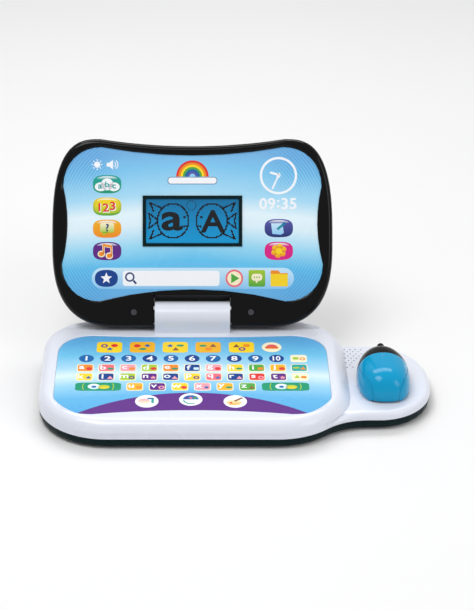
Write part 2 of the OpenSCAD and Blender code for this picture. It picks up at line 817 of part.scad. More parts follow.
module mouse_chassis() {
    color([0.1, 0.45, 0.62]) at_mouse() {
        difference() {
            slab([for (p = mouse_ring(4.6, 0)) [p[0], p[1]]], mouse_z0 + 0.1, mouse_z0 + 1.7);
            translate([0, 0, 5]) cylinder(r = screw_r + 0.05, h = 20);
        }
        difference() {
            box(-stem_half, stem_half, -stem_half, stem_half, 9.1, mouse_z0 + 0.6);
            translate([0, 0, 5]) cylinder(r = screw_r + 0.05, h = 20);
        }
        both_sides() box(10, 19.7, -13, -3, mouse_z0 + 0.1, mouse_z0 + 1.7);
        box(-7, 7, 20, 32, mouse_z0 + 0.1, mouse_z0 + 1.7);
        box(-4, 4, -14, -7.2, mouse_z0 + 1.6, 30);
        translate([0, 8, mouse_z0 + 1.6]) difference() {
            cylinder(r = 6.4, h = 2.4);
            cylinder(r = 5.4, h = 3);
        }
    }
}

module mouse_retaining_plate() {
    color([0.3, 0.32, 0.34]) at_mouse() difference() {
        union() {
            box(-11, 11, -11, 11, 7.3, 9.05);
            translate([0, 0, 5.1]) cylinder(r = 3.4, h = 2.4);
        }
        cylinder(r = 1.6, h = 12);
        cylinder(r = 2.9, h = 6.9);
    }
}

module mouse_retaining_screw() {
    color("silver") at_mouse() translate([0, 0, 5.1]) screw(10);
}

module mouse_glide_pads() {
    color([0.85, 0.86, 0.88]) at_mouse() for (x = [-12, 12], y = [-20, 20])
        translate([x, y, platform_z + 0.15]) cylinder(r = 2.4, h = mouse_z0 - platform_z - 0.05);
}

module mouse_click_switch() {
    color([0.12, 0.12, 0.13]) at_mouse() translate([0, -10.5, 30]) {
        box(-3, 3, -3, 3, 0, 2.2);
        cylinder(r = 1.5, h = 3);
    }
}

module mouse_click_spring() {
    color("silver") at_mouse() translate([0, 8, mouse_z0 + 1.75]) coil(4, 0.35, 13.6, 5);
}

base_bottom_shell();
base_top_shell();
battery_door();
battery_door_screw();
battery_cells();
battery_contacts();
main_circuit_board();
controller_chip();
speaker_basket();
speaker_cone();
speaker_magnet();
keyboard_overlay();
membrane_top_film();
membrane_spacer_film();
membrane_bottom_film();
keyboard_support_plate();
base_screws();
rubber_feet();
hinge_housing();
lid_cable();
hinge_pins();
hinge_washers();
lid_back_shell();
lid_front_bezel();
screen_faceplate();
lcd_frame();
lcd_window();
lcd_glass();
lcd_light_guide();
lcd_zebra_strips();
lcd_driver_board();
backlight_led();
lid_screws();
carriage_rails();
mouse_switch_board();
direction_switches();
mouse_y_springs();
mouse_carriage();
mouse_x_springs();
mouse_chassis();
mouse_retaining_plate();
mouse_retaining_screw();
mouse_glide_pads();
mouse_click_switch();
mouse_click_spring();
mouse_left_grip();
mouse_right_grip();
mouse_nose_trim();
mouse_cord_nub();
mouse_click_cover();
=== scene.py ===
"""Looks of a toy laptop computer with a sliding mouse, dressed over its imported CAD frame."""

import logging
import math
from dataclasses import dataclass
from enum import Enum
from typing import Callable, Iterable, Sequence

import bpy
import bmesh
from mathutils import Euler, Matrix, Vector
from mathutils.geometry import tessellate_polygon


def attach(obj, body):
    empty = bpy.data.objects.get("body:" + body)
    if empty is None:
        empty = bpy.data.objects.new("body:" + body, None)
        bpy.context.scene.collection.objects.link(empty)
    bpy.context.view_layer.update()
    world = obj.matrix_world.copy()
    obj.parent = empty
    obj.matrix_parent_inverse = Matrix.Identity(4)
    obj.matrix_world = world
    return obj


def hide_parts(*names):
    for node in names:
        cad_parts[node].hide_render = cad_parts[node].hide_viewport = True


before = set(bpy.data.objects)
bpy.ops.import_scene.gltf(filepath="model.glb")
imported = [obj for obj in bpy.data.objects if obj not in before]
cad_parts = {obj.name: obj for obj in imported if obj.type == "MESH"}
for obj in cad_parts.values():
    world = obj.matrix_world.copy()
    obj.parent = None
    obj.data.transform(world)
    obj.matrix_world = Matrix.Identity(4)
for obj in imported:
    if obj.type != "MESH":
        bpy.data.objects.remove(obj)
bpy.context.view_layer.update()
log = logging.getLogger("toy_laptop")
MM = 0.001
# The lid's axis and the deck's front edge in millimetres; slope and crease in degrees.
HINGE = (0.0, 72.0, 42.2)
DECK_SLOPE = 2.5
FRONT_Z = 26.0
CREASE = 38.0
Colour = tuple[float, float, float]
Flat = tuple[float, float]


def tint(code: str) -> Colour:
    """Linear colour of a six-digit display colour code."""
    parts = [int(code[i:i + 2], 16) / 255 for i in (0, 2, 4)]
    return tuple(c / 12.92 if c < 0.04045 else ((c + 0.055) / 1.055) ** 2.4 for c in parts)


class Ink(Enum):
    """Printing inks used on the keyboard and the screen surround, and the screen's blue with its
    painted shade.
    """

    WHITE = "F6F8FC"
    PALE = "C8E8FA"
    SKY = "8CC8F2"
    BLUE = "1463A8"
    GLOW = "0098D4"
    # Painted shade: a darker screen blue laid at the screen's top, where its frame shades it.
    SCREEN_PAINTED_SHADE = "006C9E"
    NAVY = "0B3F8C"
    DEEP = "1A2F6E"
    TEAL = "1FA39C"
    GREEN = "12966C"
    LEAF = "4FA83C"
    LIME = "A8C92E"
    YELLOW = "FBD520"
    GOLD = "F4B41C"
    ORANGE = "F08A1E"
    RED = "E0302A"
    ROSE = "EE6E7C"
    PINK = "F4A0AE"
    MAGENTA = "DB1C85"
    PURPLE = "5E2284"
    VIOLET = "5655A8"
    BROWN = "8A5A32"
    CREAM = "FBF0CC"
    BLACK = "0C0E12"

    @property
    def linear(self) -> Colour:
        """The ink's linear colour."""
        return tint(self.value)


# ---------------------------------------------------------------- finishes


@dataclass(frozen=True)
class Moulding:
    """A moulded plastic: colour, gloss and the faint unevenness of its skin."""

    name: str
    colour: str
    roughness: float = 0.3
    coat: float = 0.0
    ripple: float = 0.04
    ripple_scale: float = 90.0
    grain: float = 0.0
    shift: float = 0.04
    metallic: float = 0.0
    sheen_under: float = 0.0
    specular: float = 0.5

    def make(self) -> bpy.types.Material:
        """Builds the node material.

        Returns:
            The finished material.
        """
        tree = NodeTree(self.name)
        r, g, b = tint(self.colour)
        noise = tree.noise(self.ripple_scale, 3.0)
        dark = (r * (1 - self.shift), g * (1 - self.shift), b * (1 - self.shift), 1)
        light = tuple(min(1, c * (1 + self.shift)) for c in (r, g, b)) + (1,)
        colour = tree.mix(noise, dark, light)
        rough = tree.spread(noise, self.roughness * 0.88, min(1, self.roughness * 1.12))
        shader = tree.shader
        tree.join(colour, shader.inputs["Base Color"])
        tree.join(rough, shader.inputs["Roughness"])
        shader.inputs["Metallic"].default_value = self.metallic
        shader.inputs["Specular IOR Level"].default_value = self.specular
        shader.inputs["Coat Weight"].default_value = self.coat
        shader.inputs["Coat Roughness"].default_value = 0.06
        shader.inputs["Subsurface Weight"].default_value = self.sheen_under
        shader.inputs["Subsurface Scale"].default_value = 0.002
        shader.inputs["Subsurface Radius"].default_value = (1.0, 0.9, 0.8)
        height = tree.noise(1400.0 if self.grain else self.ripple_scale, 2.0)
        tree.bump(height, self.grain or self.ripple, 0.0002)
        return tree.material


class NodeTree:
    """Short words for wiring a Principled material."""

    def __init__(self, name: str) -> None:
        """Starts a material with one Principled shader on Object coordinates."""
        self.material = bpy.data.materials.new(name)
        self.material.use_nodes = True
        self.nodes = self.material.node_tree.nodes
        self.links = self.material.node_tree.links
        self.shader = next(n for n in self.nodes if n.type == "BSDF_PRINCIPLED")
        self.where = self.nodes.new("ShaderNodeTexCoord").outputs["Object"]

    def join(self, source: bpy.types.NodeSocket, target: bpy.types.NodeSocket) -> None:
        """Links two sockets."""
        self.links.new(source, target)

    def noise(self, scale: float, detail: float) -> bpy.types.NodeSocket:
        """A noise pattern on Object coordinates."""
        node = self.nodes.new("ShaderNodeTexNoise")
        node.inputs["Scale"].default_value = scale
        node.inputs["Detail"].default_value = detail
        self.join(self.where, node.inputs["Vector"])
        return node.outputs["Fac"]

    def mix(self, factor, first, second) -> bpy.types.NodeSocket:
        """Blends two colours, each a socket or a fixed colour, by a factor."""
        node = self.nodes.new("ShaderNodeMix")
        node.data_type = "RGBA"
        for socket, value in ((node.inputs[0], factor), (node.inputs[6], first),
                              (node.inputs[7], second)):
            if isinstance(value, bpy.types.NodeSocket):
                self.join(value, socket)
            else:
                socket.default_value = value
        return node.outputs[2]

    def maths(self, kind: str, first, second=0.0, third=0.0) -> bpy.types.NodeSocket:
        """One arithmetic step; each term is a socket or a number."""
        node = self.nodes.new("ShaderNodeMath")
        node.operation = kind
        for socket, value in zip(node.inputs, (first, second, third)):
            if isinstance(value, bpy.types.NodeSocket):
                self.join(value, socket)
            else:
                socket.default_value = value
        return node.outputs[0]

    def spread(self, source, low: float, high: float) -> bpy.types.NodeSocket:
        """Maps a 0 to 1 pattern on to a range."""
        return self.maths("MULTIPLY_ADD", source, high - low, low)

    def ramp(self, factor, stops: Sequence[tuple[float, str]]) -> bpy.types.NodeSocket:
        """A colour ramp with the given stops."""
        node = self.nodes.new("ShaderNodeValToRGB")
        stripe = node.color_ramp
        while len(stripe.elements) < len(stops):
            stripe.elements.new(0.5)
        for element, (place, code) in zip(stripe.elements, stops):
            element.position = place
            element.color = (*tint(code), 1)
        self.join(factor, node.inputs["Fac"])
        return node.outputs["Color"]

    def bump(self, height, strength: float, distance: float) -> None:
        """Adds a bump to the shader's normal."""
        node = self.nodes.new("ShaderNodeBump")
        node.inputs["Strength"].default_value = strength
        node.inputs["Distance"].default_value = distance
        self.join(height, node.inputs["Height"])
        self.join(node.outputs["Normal"], self.shader.inputs["Normal"])

    def split(self, vector) -> tuple:
        """The three parts of a vector."""
        node = self.nodes.new("ShaderNodeSeparateXYZ")
        self.join(vector, node.inputs[0])
        return node.outputs[0], node.outputs[1], node.outputs[2]

    def turned(self, origin: Vector, tilt: float) -> tuple:
        """Coordinates in a frame at origin, turned about X by tilt, in metres."""
        node = self.nodes.new("ShaderNodeMapping")
        node.vector_type = "TEXTURE"
        node.inputs["Location"].default_value = origin
        node.inputs["Rotation"].default_value = (tilt, 0, 0)
        self.join(self.where, node.inputs["Vector"])
        return self.split(node.outputs["Vector"])


@dataclass(frozen=True)
class PrintedFilm:
    """A printed film: a colour gradient along its length, with fine curved corner lines."""

    name: str
    origin: Vector
    tilt: float
    low: float
    high: float
    stops: tuple[tuple[float, str], ...]
    corner_lines: float = 0.0
    roughness: float = 0.28
    sway: float = 0.1
    arc_centre: float = 0.03
    arc_rate: float = 2500.0
    fade_across: Flat = (40.0, -2.5)
    fade_along: Flat = (42.0, -1.05)

    def make(self) -> bpy.types.Material:
        """Builds the node material.

        Returns:
            The finished material.
        """
        tree = NodeTree(self.name)
        x, y, _ = tree.turned(self.origin, self.tilt)
        sway = tree.maths("MULTIPLY", tree.maths("ABSOLUTE", x), self.sway)
        along = tree.maths("DIVIDE", tree.maths("SUBTRACT", tree.maths("ADD", y, sway),
                                                self.low), self.high - self.low)
        colour = tree.ramp(along, self.stops)
        if self.corner_lines:
            middle = (self.low + self.high) / 2
            across = tree.maths("SUBTRACT", tree.maths("ABSOLUTE", x), self.arc_centre)
            up = tree.maths("SUBTRACT", y, middle)
            reach = tree.maths("POWER", tree.maths("ADD", tree.maths("MULTIPLY", across, across),
                                                   tree.maths("MULTIPLY", up, up)), 0.5)
            wave = tree.maths("SINE", tree.maths("MULTIPLY", reach, self.arc_rate))
            near = tree.maths("MULTIPLY_ADD", tree.maths("ABSOLUTE", x), *self.fade_across)
            far = tree.maths("MULTIPLY_ADD", tree.maths("ABSOLUTE", up), *self.fade_along)
            mask = tree.maths("MULTIPLY", clamp01(tree, near), clamp01(tree, far))
            lines = tree.maths("MULTIPLY", tree.maths("GREATER_THAN", wave, 0.0), mask)
            colour = tree.mix(tree.maths("MULTIPLY", lines, self.corner_lines), colour,
                              (*tint("4D9FDB"), 1))
        tree.join(colour, tree.shader.inputs["Base Color"])
        haze = tree.noise(40.0, 2.0)
        tree.join(tree.spread(haze, self.roughness * 0.85, self.roughness * 1.15),
                  tree.shader.inputs["Roughness"])
        tree.shader.inputs["Specular IOR Level"].default_value = 0.25
        tree.bump(haze, 0.002, 0.0001)
        return tree.material


def clamp01(tree: NodeTree, source) -> bpy.types.NodeSocket:
    """Limits a number to 0 to 1."""
    node = tree.nodes.new("ShaderNodeClamp")
    tree.join(source, node.inputs[0])
    return node.outputs[0]


@dataclass(frozen=True)
class InkFinish:
    """Printed ink whose colour is carried by the mesh, under a clear gloss."""

    name: str
    roughness: float = 0.32

    def make(self) -> bpy.types.Material:
        """Builds the node material.

        Returns:
            The finished material.
        """
        tree = NodeTree(self.name)
        ink = tree.nodes.new("ShaderNodeAttribute")
        ink.attribute_name = "ink"
        grain = tree.noise(900.0, 2.0)
        tree.join(tree.mix(tree.spread(grain, 0.0, 0.03), ink.outputs["Color"],
                           (0.9, 0.92, 0.95, 1)), tree.shader.inputs["Base Color"])
        tree.shader.inputs["Specular IOR Level"].default_value = 0.12
        tree.join(tree.spread(grain, self.roughness * 0.85, self.roughness * 1.15),
                  tree.shader.inputs["Roughness"])
        tree.bump(grain, 0.02, 0.0001)
        return tree.material


class Finishes:
    """Every finish of the toy, made once."""

    def __init__(self) -> None:
        """Builds the materials by name."""
        self.shell_white = Moulding("shell_white", "E0E4EF", 0.28, 0.25, 0.004, 14,
                                    shift=0.008, sheen_under=0.05).make()
        self.shell_teal = Moulding("shell_dark_teal", "051D20", 0.42, 0.0, specular=0.1).make()
        self.lid_black = Moulding("lid_gloss_black", "050506", 0.14, 0.0, 0.002, 14,
                                  specular=0.2).make()
        self.mouse_blue = Moulding("mouse_gloss_blue", "0097C6", 0.14, 0.12, 0.001, 14,
                                   specular=0.22).make()
        self.mouse_black = Moulding("mouse_gloss_black", "050507", 0.2, 0.0, 0.002, 14,
                                    specular=0.12).make()
        self.rubber = Moulding("foot_rubber", "17181A", 0.8, 0.0, 0.1, 300, grain=0.3).make()
        self.steel = Moulding("screw_steel", "B9BCC2", 0.32, 0.0, 0.04, 400,
                              metallic=1.0).make()
        self.dark_steel = Moulding("screw_dark_steel", "5E6064", 0.35, 0.0, 0.04, 400,
                                   metallic=1.0).make()
        self.brass = Moulding("contact_metal", "C9C4B4", 0.3, 0.0, 0.04, 300,
                              metallic=1.0).make()
        self.board = Moulding("circuit_board", "1C5A33", 0.45, 0.2, 0.05, 200,
                              shift=0.15).make()
        self.bare_plastic = Moulding("inner_plastic", "D9DADD", 0.5, 0.0, 0.05, 120,
                                     grain=0.1).make()
        self.film = Moulding("membrane_film", "E8E6DC", 0.35, 0.0, 0.03, 90).make()
        self.chip = Moulding("chip_resin", "141414", 0.4, 0.0, 0.2, 200).make()
        self.cone = Moulding("speaker_paper", "3A3A3C", 0.85, 0.0, 0.2, 260,
                             grain=0.4).make()
        self.cell = Moulding("cell_jacket", "3D4A57", 0.35, 0.3, 0.03, 60).make()
        self.acetal = Moulding("sliding_plastic", "F1F1EC", 0.4, 0.0, 0.03, 90).make()
        self.ink = InkFinish("printed_ink").make()
        self.key_ink = InkFinish("key_ink", 0.24).make()
        self.lcd = Moulding("lcd_cyan", "0091C6", 0.2, 0.0, 0.02, 60, specular=0.2).make()


# ---------------------------------------------------------------- shapes


@dataclass(frozen=True)
class Plane:
    """A flat working face: a frame turned about X, in millimetres."""

    origin: tuple[float, float, float]
    tilt: float
    level: float

    def at(self, x: float, y: float, z: float = 0.0) -> Vector:
        """The world place, in metres, of a point on the face."""
        turned = Matrix.Rotation(math.radians(self.tilt), 3, "X") @ Vector((x, y, z + self.level))
        return (Vector(self.origin) + turned) * MM


def face_level(node: str, origin: tuple[float, float, float], tilt: float) -> float:
    """Highest level of a CAD node above a tilted face through origin, in millimetres."""
    spin = Matrix.Rotation(-math.radians(tilt), 3, "X")
    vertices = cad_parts[node].data.vertices
    return max((spin @ (v.co / MM - Vector(origin))).z for v in vertices)


def ellipse(cx: float, cy: float, rx: float, ry: float, start: float = 0.0,
            end: float = 360.0, count: int = 32, power: float = 2.0) -> list[Flat]:
    """Points along a superellipse arc, in degrees, both ends included if it is open."""
    closed = abs(end - start) >= 360
    steps = count if closed else count - 1
    out = []
    for i in range(count):
        t = math.radians(start + (end - start) * i / steps)
        c, s = math.cos(t), math.sin(t)
        out.append((cx + rx * math.copysign(abs(c) ** (2 / power), c),
                    cy + ry * math.copysign(abs(s) ** (2 / power), s)))
    return out


def rounded(cx: float, cy: float, w: float, h: float, r: float, count: int = 6) -> list[Flat]:
    """Points round a rectangle with rounded corners."""
    out = []
    for sx, sy, a in ((1, 1, 0), (-1, 1, 90), (-1, -1, 180), (1, -1, 270)):
        x, y = cx + sx * (w / 2 - r), cy + sy * (h / 2 - r)
        out += ellipse(x, y, r, r, a, a + 90, count)
    return out


def band(cx: float, cy: float, r_in: float, r_out: float, start: float, end: float,
         count: int = 24) -> list[Flat]:
    """Points round a bent band."""
    return (ellipse(cx, cy, r_out, r_out, start, end, count)
            + ellipse(cx, cy, r_in, r_in, end, start, count))


def stroke(a: Flat, b: Flat, width: float) -> list[Flat]:
    """Points round a straight bar from a to b."""
    dx, dy = b[0] - a[0], b[1] - a[1]
    n = math.hypot(dx, dy)
    px, py = -dy / n * width / 2, dx / n * width / 2
    return [(a[0] + px, a[1] + py), (a[0] - px, a[1] - py), (b[0] - px, b[1] - py),
            (b[0] + px, b[1] + py)]


def star(cx: float, cy: float, r_out: float, r_in: float, points: int) -> list[Flat]:
    """Points round a star."""
    out = []
    for i in range(points * 2):
        t = math.pi * i / points + math.pi / 2
        r = r_in if i % 2 else r_out
        out.append((cx + r * math.cos(t), cy + r * math.sin(t)))
    return out


class Glyphs:
    """Outlines of single letters and figures, as flat triangles, made once each."""

    store: dict[str, tuple[list[Flat], list[tuple[int, ...]]]] = {}
    cap_height = 0.7

    @classmethod
    def get(cls, word: str) -> tuple[list[Flat], list[tuple[int, ...]]]:
        """Flat points and faces of a short generic legend.

        Args:
            word: The letters or figures.

        Returns:
            Points centred on the origin with a capital's height near 1, and their faces.
        """
        if word not in cls.store:
            text = bpy.data.curves.new("legend", "FONT")
            text.body = word
            text.resolution_u = 3
            text.offset = 0.022
            thing = bpy.data.objects.new("legend", text)
            bpy.context.scene.collection.objects.link(thing)
            mesh = thing.to_mesh()
            points = [(v.co.x, v.co.y) for v in mesh.vertices]
            faces = [tuple(p.vertices) for p in mesh.polygons]
            thing.to_mesh_clear()
            bpy.data.objects.remove(thing)
            bpy.data.curves.remove(text)
            xs, ys = [p[0] for p in points], [p[1] for p in points]
            mx, my = (min(xs) + max(xs)) / 2, (min(ys) + max(ys)) / 2
            cap = cls.cap_height
            cls.store[word] = ([((x - mx) / cap, (y - my) / cap) for x, y in points], faces)
        return cls.store[word]


class Print:
    """Thin solid inks laid in layers on a working face, gathered in one mesh."""

    base = -0.03
    layer_step = 0.03

    def __init__(self, name: str, plane: Plane) -> None:
        """Starts an empty print on a face."""
        self.name = name
        self.plane = plane
        self.points: list[Vector] = []
        self.faces: list[tuple[int, ...]] = []
        self.inks: list[Colour] = []
        self.layer = 0

    def up(self) -> None:
        """Moves on to the next layer."""
        self.layer += 1

    def height(self) -> float:
        """Height of the current layer's top above the face, in millimetres."""
        return 0.02 + self.layer * self.layer_step

    def tiles(self, points: Sequence[Flat], faces: Iterable[Sequence[int]],
              ink: Callable[[float, float], Colour]) -> None:
        """Adds flat faces as closed thin solids.

        Args:
            points: Flat points in millimetres.
            faces: Faces over the points, all facing up.
            ink: Colour at a place.
        """
        start, n, top = len(self.points), len(points), self.height()
        self.points += [self.plane.at(x, y, top) for x, y in points]
        self.points += [self.plane.at(x, y, self.base) for x, y in points]
        shades = [ink(x, y) for x, y in points]
        self.inks += shades + shades
        edges = {}
        for face in faces:
            self.faces.append(tuple(start + i for i in face))
            self.faces.append(tuple(start + n + i for i in reversed(face)))
            for a, b in zip(face, list(face[1:]) + [face[0]]):
                edges[(a, b)] = edges.get((a, b), 0) + 1
        for a, b in edges:
            if (b, a) not in edges:
                self.faces.append((start + b, start + a, start + n + a, start + n + b))

    def shape(self, outline: Sequence[Flat], ink: Ink, top: Ink | None = None) -> None:
        """Adds one filled outline, shaded from ink at its foot to top at its head."""
        low, high = min(p[1] for p in outline), max(p[1] for p in outline)
        first, last = ink.linear, (top or ink).linear

        def shade(_x: float, y: float) -> Colour:
            """Colour between the foot and the head."""
            t = (y - low) / max(high - low, 1e-6)
            return tuple(a + (b - a) * t for a, b in zip(first, last))

        flat = [Vector((x, y, 0)) for x, y in outline]
        area = sum(a[0] * b[1] - b[0] * a[1] for a, b in zip(outline,
                                                             list(outline[1:]) + [outline[0]]))
        faces = []
        for tri in tessellate_polygon([flat]):
            a, b, c = (outline[i] for i in tri)
            turn = (b[0] - a[0]) * (c[1] - a[1]) - (c[0] - a[0]) * (b[1] - a[1])
            if abs(turn) > 1e-9:
                faces.append(tuple(tri) if turn > 0 else tuple(reversed(tri)))
        if area != 0:
            self.tiles(list(outline), faces, shade)

    def legend(self, word: str, cx: float, cy: float, size: float, ink: Ink,
               stretch: float = 1.0) -> None:
        """Adds a generic letter or figure, centred, with the given capital height."""
        points, faces = Glyphs.get(word)
        self.tiles([(cx + x * size * stretch, cy + y * size) for x, y in points], faces,
                   lambda _x, _y: ink.linear)

    def finish(self, body: str, material: bpy.types.Material, slot: str) -> None:
        """Makes the mesh, gives it its finish and lets it ride.

        Args:
            body: CAD body it moves with.
            material: Its finish.
            slot: Material slot of the record it takes its finish from.
        """
        mesh = bpy.data.meshes.new(self.name)
        mesh.from_pydata(self.points, [], self.faces)
        colours = mesh.attributes.new("ink", "FLOAT_COLOR", "POINT")
        colours.data.foreach_set("color", [c for ink in self.inks for c in (*ink, 1.0)])
        place(self.name, mesh, body, material, slot)


def place(name: str, mesh: bpy.types.Mesh, body: str, material: bpy.types.Material,
          slot: str, replaces: Sequence[str] = ()) -> None:
    """Links a mesh as a piece of the toy.

    Args:
        name: Piece name.
        mesh: Its mesh, in the world frame.
        body: CAD body it moves with.
        material: Its finish.
        slot: Not used.
        replaces: CAD nodes it stands for.
    """
    thing = bpy.data.objects.new(name, mesh)
    bpy.context.scene.collection.objects.link(thing)
    if not mesh.materials:
        mesh.materials.append(material)
    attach(thing, body)
    if replaces:
        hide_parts(*replaces)
    log.info("%s: %d faces on %s", name, len(mesh.polygons), body)


def dress(table: Iterable[tuple[bpy.types.Material, str]]) -> None:
    """Gives CAD nodes their finishes.

    Args:
        table: Each finish with the names of the nodes that wear it, spaced apart.
    """
    for material, names in table:
        for name in names.split():
            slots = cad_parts[name].data.materials
            slots.clear()
            slots.append(material)


# ---------------------------------------------------------------- geometry nodes


class KeyPads:
    """Softly domed key pads instanced over points, each with its own ink and size."""

    def __init__(self, name: str, plane: Plane, round_keys: bool) -> None:
        """Starts an empty row of keys on a face."""
        self.name = name
        self.plane = plane
        self.round_keys = round_keys
        self.keys: list[tuple[float, float, float, float, Colour]] = []

    def add(self, x: float, y: float, w: float, h: float, ink: Ink) -> None:
        """Adds one key of width w and height h, in millimetres."""
        self.keys.append((x, y, w, h, ink.linear))

    def pad_mesh(self) -> bpy.types.Object:
        """One pad of unit size, with a rounded outline and a softened edge."""
        if self.round_keys:
            outline = ellipse(0, 0, 0.5, 0.5, count=20)
        else:
            outline = rounded(0, 0, 1, 1, 0.16, 3)
        rings = ((1.0, -0.05), (1.0, 0.14), (0.95, 0.2), (0.86, 0.24))
        mesh = bmesh.new()
        made = [[mesh.verts.new((x * s, y * s, z)) for x, y in outline] for s, z in rings]
        n = len(outline)
        for low, high in zip(made, made[1:]):
            for i in range(n):
                mesh.faces.new((low[i], low[(i + 1) % n], high[(i + 1) % n], high[i]))
        mesh.faces.new(made[-1])
        mesh.faces.new(list(reversed(made[0])))
        data = bpy.data.meshes.new(self.name + "_pad")
        mesh.to_mesh(data)
        mesh.free()
        return bpy.data.objects.new(self.name + "_pad", data)

    def tree(self, pad: bpy.types.Object, material: bpy.types.Material) -> bpy.types.NodeTree:
        """The node group that puts a pad on each point.

        Args:
            pad: The unit pad.
            material: The keys' finish.

        Returns:
            The group, with Pad, Height and Tilt inputs.
        """
        group = bpy.data.node_groups.new(self.name + "_rows", "GeometryNodeTree")
        face = group.interface
        face.new_socket("Geometry", in_out="INPUT", socket_type="NodeSocketGeometry")
        face.new_socket("Pad", in_out="INPUT", socket_type="NodeSocketObject")
        face.new_socket("Height", in_out="INPUT", socket_type="NodeSocketFloat")
        face.new_socket("Tilt", in_out="INPUT", socket_type="NodeSocketFloat")
        face.new_socket("Geometry", in_out="OUTPUT", socket_type="NodeSocketGeometry")
        make, link = group.nodes.new, group.links.new
        entry, leave = make("NodeGroupInput"), make("NodeGroupOutput")
        spots, shape = make("GeometryNodeInstanceOnPoints"), make("GeometryNodeObjectInfo")
        link(entry.outputs["Geometry"], spots.inputs["Points"])
        link(entry.outputs["Pad"], shape.inputs["Object"])
        link(shape.outputs["Geometry"], spots.inputs["Instance"])
        size = make("GeometryNodeInputNamedAttribute")
        size.data_type = "FLOAT_VECTOR"
        size.inputs["Name"].default_value = "key_size"
        parts, joined = make("ShaderNodeSeparateXYZ"), make("ShaderNodeCombineXYZ")
        link(size.outputs[0], parts.inputs[0])
        link(parts.outputs[0], joined.inputs[0])
        link(parts.outputs[1], joined.inputs[1])
        link(entry.outputs["Height"], joined.inputs[2])
        link(joined.outputs[0], spots.inputs["Scale"])
        turn = make("ShaderNodeCombineXYZ")
        link(entry.outputs["Tilt"], turn.inputs[0])
        link(turn.outputs[0], spots.inputs["Rotation"])
        real, coat = make("GeometryNodeRealizeInstances"), make("GeometryNodeSetMaterial")
        coat.inputs["Material"].default_value = material
        link(spots.outputs["Instances"], real.inputs["Geometry"])
        link(real.outputs["Geometry"], coat.inputs["Geometry"])
        link(coat.outputs["Geometry"], leave.inputs["Geometry"])
        return group

    def grown(self, material: bpy.types.Material, height: float) -> bpy.types.Mesh:
        """Evaluates the keys to a plain mesh.

        Args:
            material: Their finish.
            height: Scale of the pad's height, in millimetres.

        Returns:
            The mesh.
        """
        spots = bpy.data.meshes.new(self.name + "_spots")
        spots.from_pydata([self.plane.at(k[0], k[1]) for k in self.keys], [], [])
        sizes = spots.attributes.new("key_size", "FLOAT_VECTOR", "POINT")
        sizes.data.foreach_set("vector", [c for k in self.keys
                                          for c in (k[2] * MM, k[3] * MM, MM)])
        inks = spots.attributes.new("ink", "FLOAT_COLOR", "POINT")
        inks.data.foreach_set("color", [c for k in self.keys for c in (*k[4], 1.0)])
        pad = self.pad_mesh()
        grower = bpy.data.objects.new(self.name + "_grower", spots)
        bpy.context.scene.collection.objects.link(grower)
        modifier = grower.modifiers.new("keys", "NODES")
        modifier.node_group = self.tree(pad, material)
        values = {"Pad": pad, "Height": height * MM, "Tilt": math.radians(self.plane.tilt)}
        for item in modifier.node_group.interface.items_tree:
            if item.in_out == "INPUT" and item.name in values:
                modifier[item.identifier] = values[item.name]
        mesh = evaluated(grower)
        bpy.data.objects.remove(pad)
        return mesh

    def finish(self, body: str, material: bpy.types.Material, slot: str,
               height: float) -> None:
        """Makes the keys one plain piece and lets it ride.

        Args:
            body: CAD body they move with.
            material: Their finish.
            slot: Material slot of the record.
            height: Scale of the pad's height, in millimetres.
        """
        place(self.name, self.grown(material, height), body, material, slot)


class Perforations(KeyPads):
    """Round punches for the speaker's holes, repeated over points."""

    def pad_mesh(self) -> bpy.types.Object:
        """One punch of unit size."""
        low, high = ([Vector((x, y, z)) for x, y in ellipse(0, 0, 0.5, 0.5, count=14)]
                     for z in (-5.0, 2.0))
        mesh = loft_mesh(self.name + "_punch", [low, high], False)
        return bpy.data.objects.new(self.name + "_punch", mesh)


def evaluated(thing: bpy.types.Object) -> bpy.types.Mesh:
    """The plain mesh of an object with its modifiers, which is then removed."""
    bpy.context.view_layer.update()
    graph = bpy.context.evaluated_depsgraph_get()
    mesh = bpy.data.meshes.new_from_object(thing.evaluated_get(graph), depsgraph=graph)
    bpy.data.objects.remove(thing)
    return mesh


# ---------------------------------------------------------------- lofted shells

Corner = tuple[float, float, float, float, float]


def corner(c: Corner, quadrant: int, inset: float, steps: int = 24) -> list[Flat]:
    """Points of one rounded corner, walked anticlockwise.

    Args:
        c: Centre x, centre y, x radius, y radius and exponent.
        quadrant: 0 to 3, from the right rear anticlockwise.
        inset: Distance inside the outline.
        steps: Spans in the corner.

    Returns:
        The corner's points.
    """
    out = []
    for i in range(steps + 1):
        t = math.radians(90 * i / steps if quadrant % 2 == 0 else 90 - 90 * i / steps)
        x = c[0] + (c[2] - inset) * max(math.cos(t), 0.0) ** (2 / c[4])
        y = (c[3] - inset) * max(math.sin(t), 0.0) ** (2 / c[4])
        out.append((x if quadrant in (0, 3) else -x, c[1] + (y if quadrant < 2 else -y)))
    return out


def bow(a: Flat, b: Flat, sag: float, across: bool, steps: int = 24) -> list[Flat]:
    """Points between a and b on an edge that sags at its middle."""
    out = []
    for i in range(1, steps + 1):
        u = i / (steps + 1)
        k = 4 * u * (1 - u) * sag
        out.append((a[0] + (b[0] - a[0]) * u + (0 if across else k),
                    a[1] + (b[1] - a[1]) * u + (k if across else 0)))
    return out


def lobed(rear: Corner, front: Corner, inset: float, sags: tuple[float, float, float],
          steps: int = 24) -> list[Flat]:
    """A closed outline of four rounded corners with bowed edges between them."""
    a, b = corner(rear, 0, inset, steps), corner(rear, 1, inset, steps)
    c, e = corner(front, 2, inset, steps), corner(front, 3, inset, steps)
    return (a + bow(a[-1], b[0], sags[0], True) + b + bow(b[-1], c[0], -sags[2], False)
            + c + bow(c[-1], e[0], sags[1], True) + e + bow(e[-1], a[0], sags[2], False))


def arc_points(c: Corner, start: float, end: float, count: int, inset: float) -> list[Flat]:
    """Points along part of an elliptical corner, both ends included."""
    return ellipse(c[0], c[1], c[2] - inset, c[3] - inset, start, end, count)


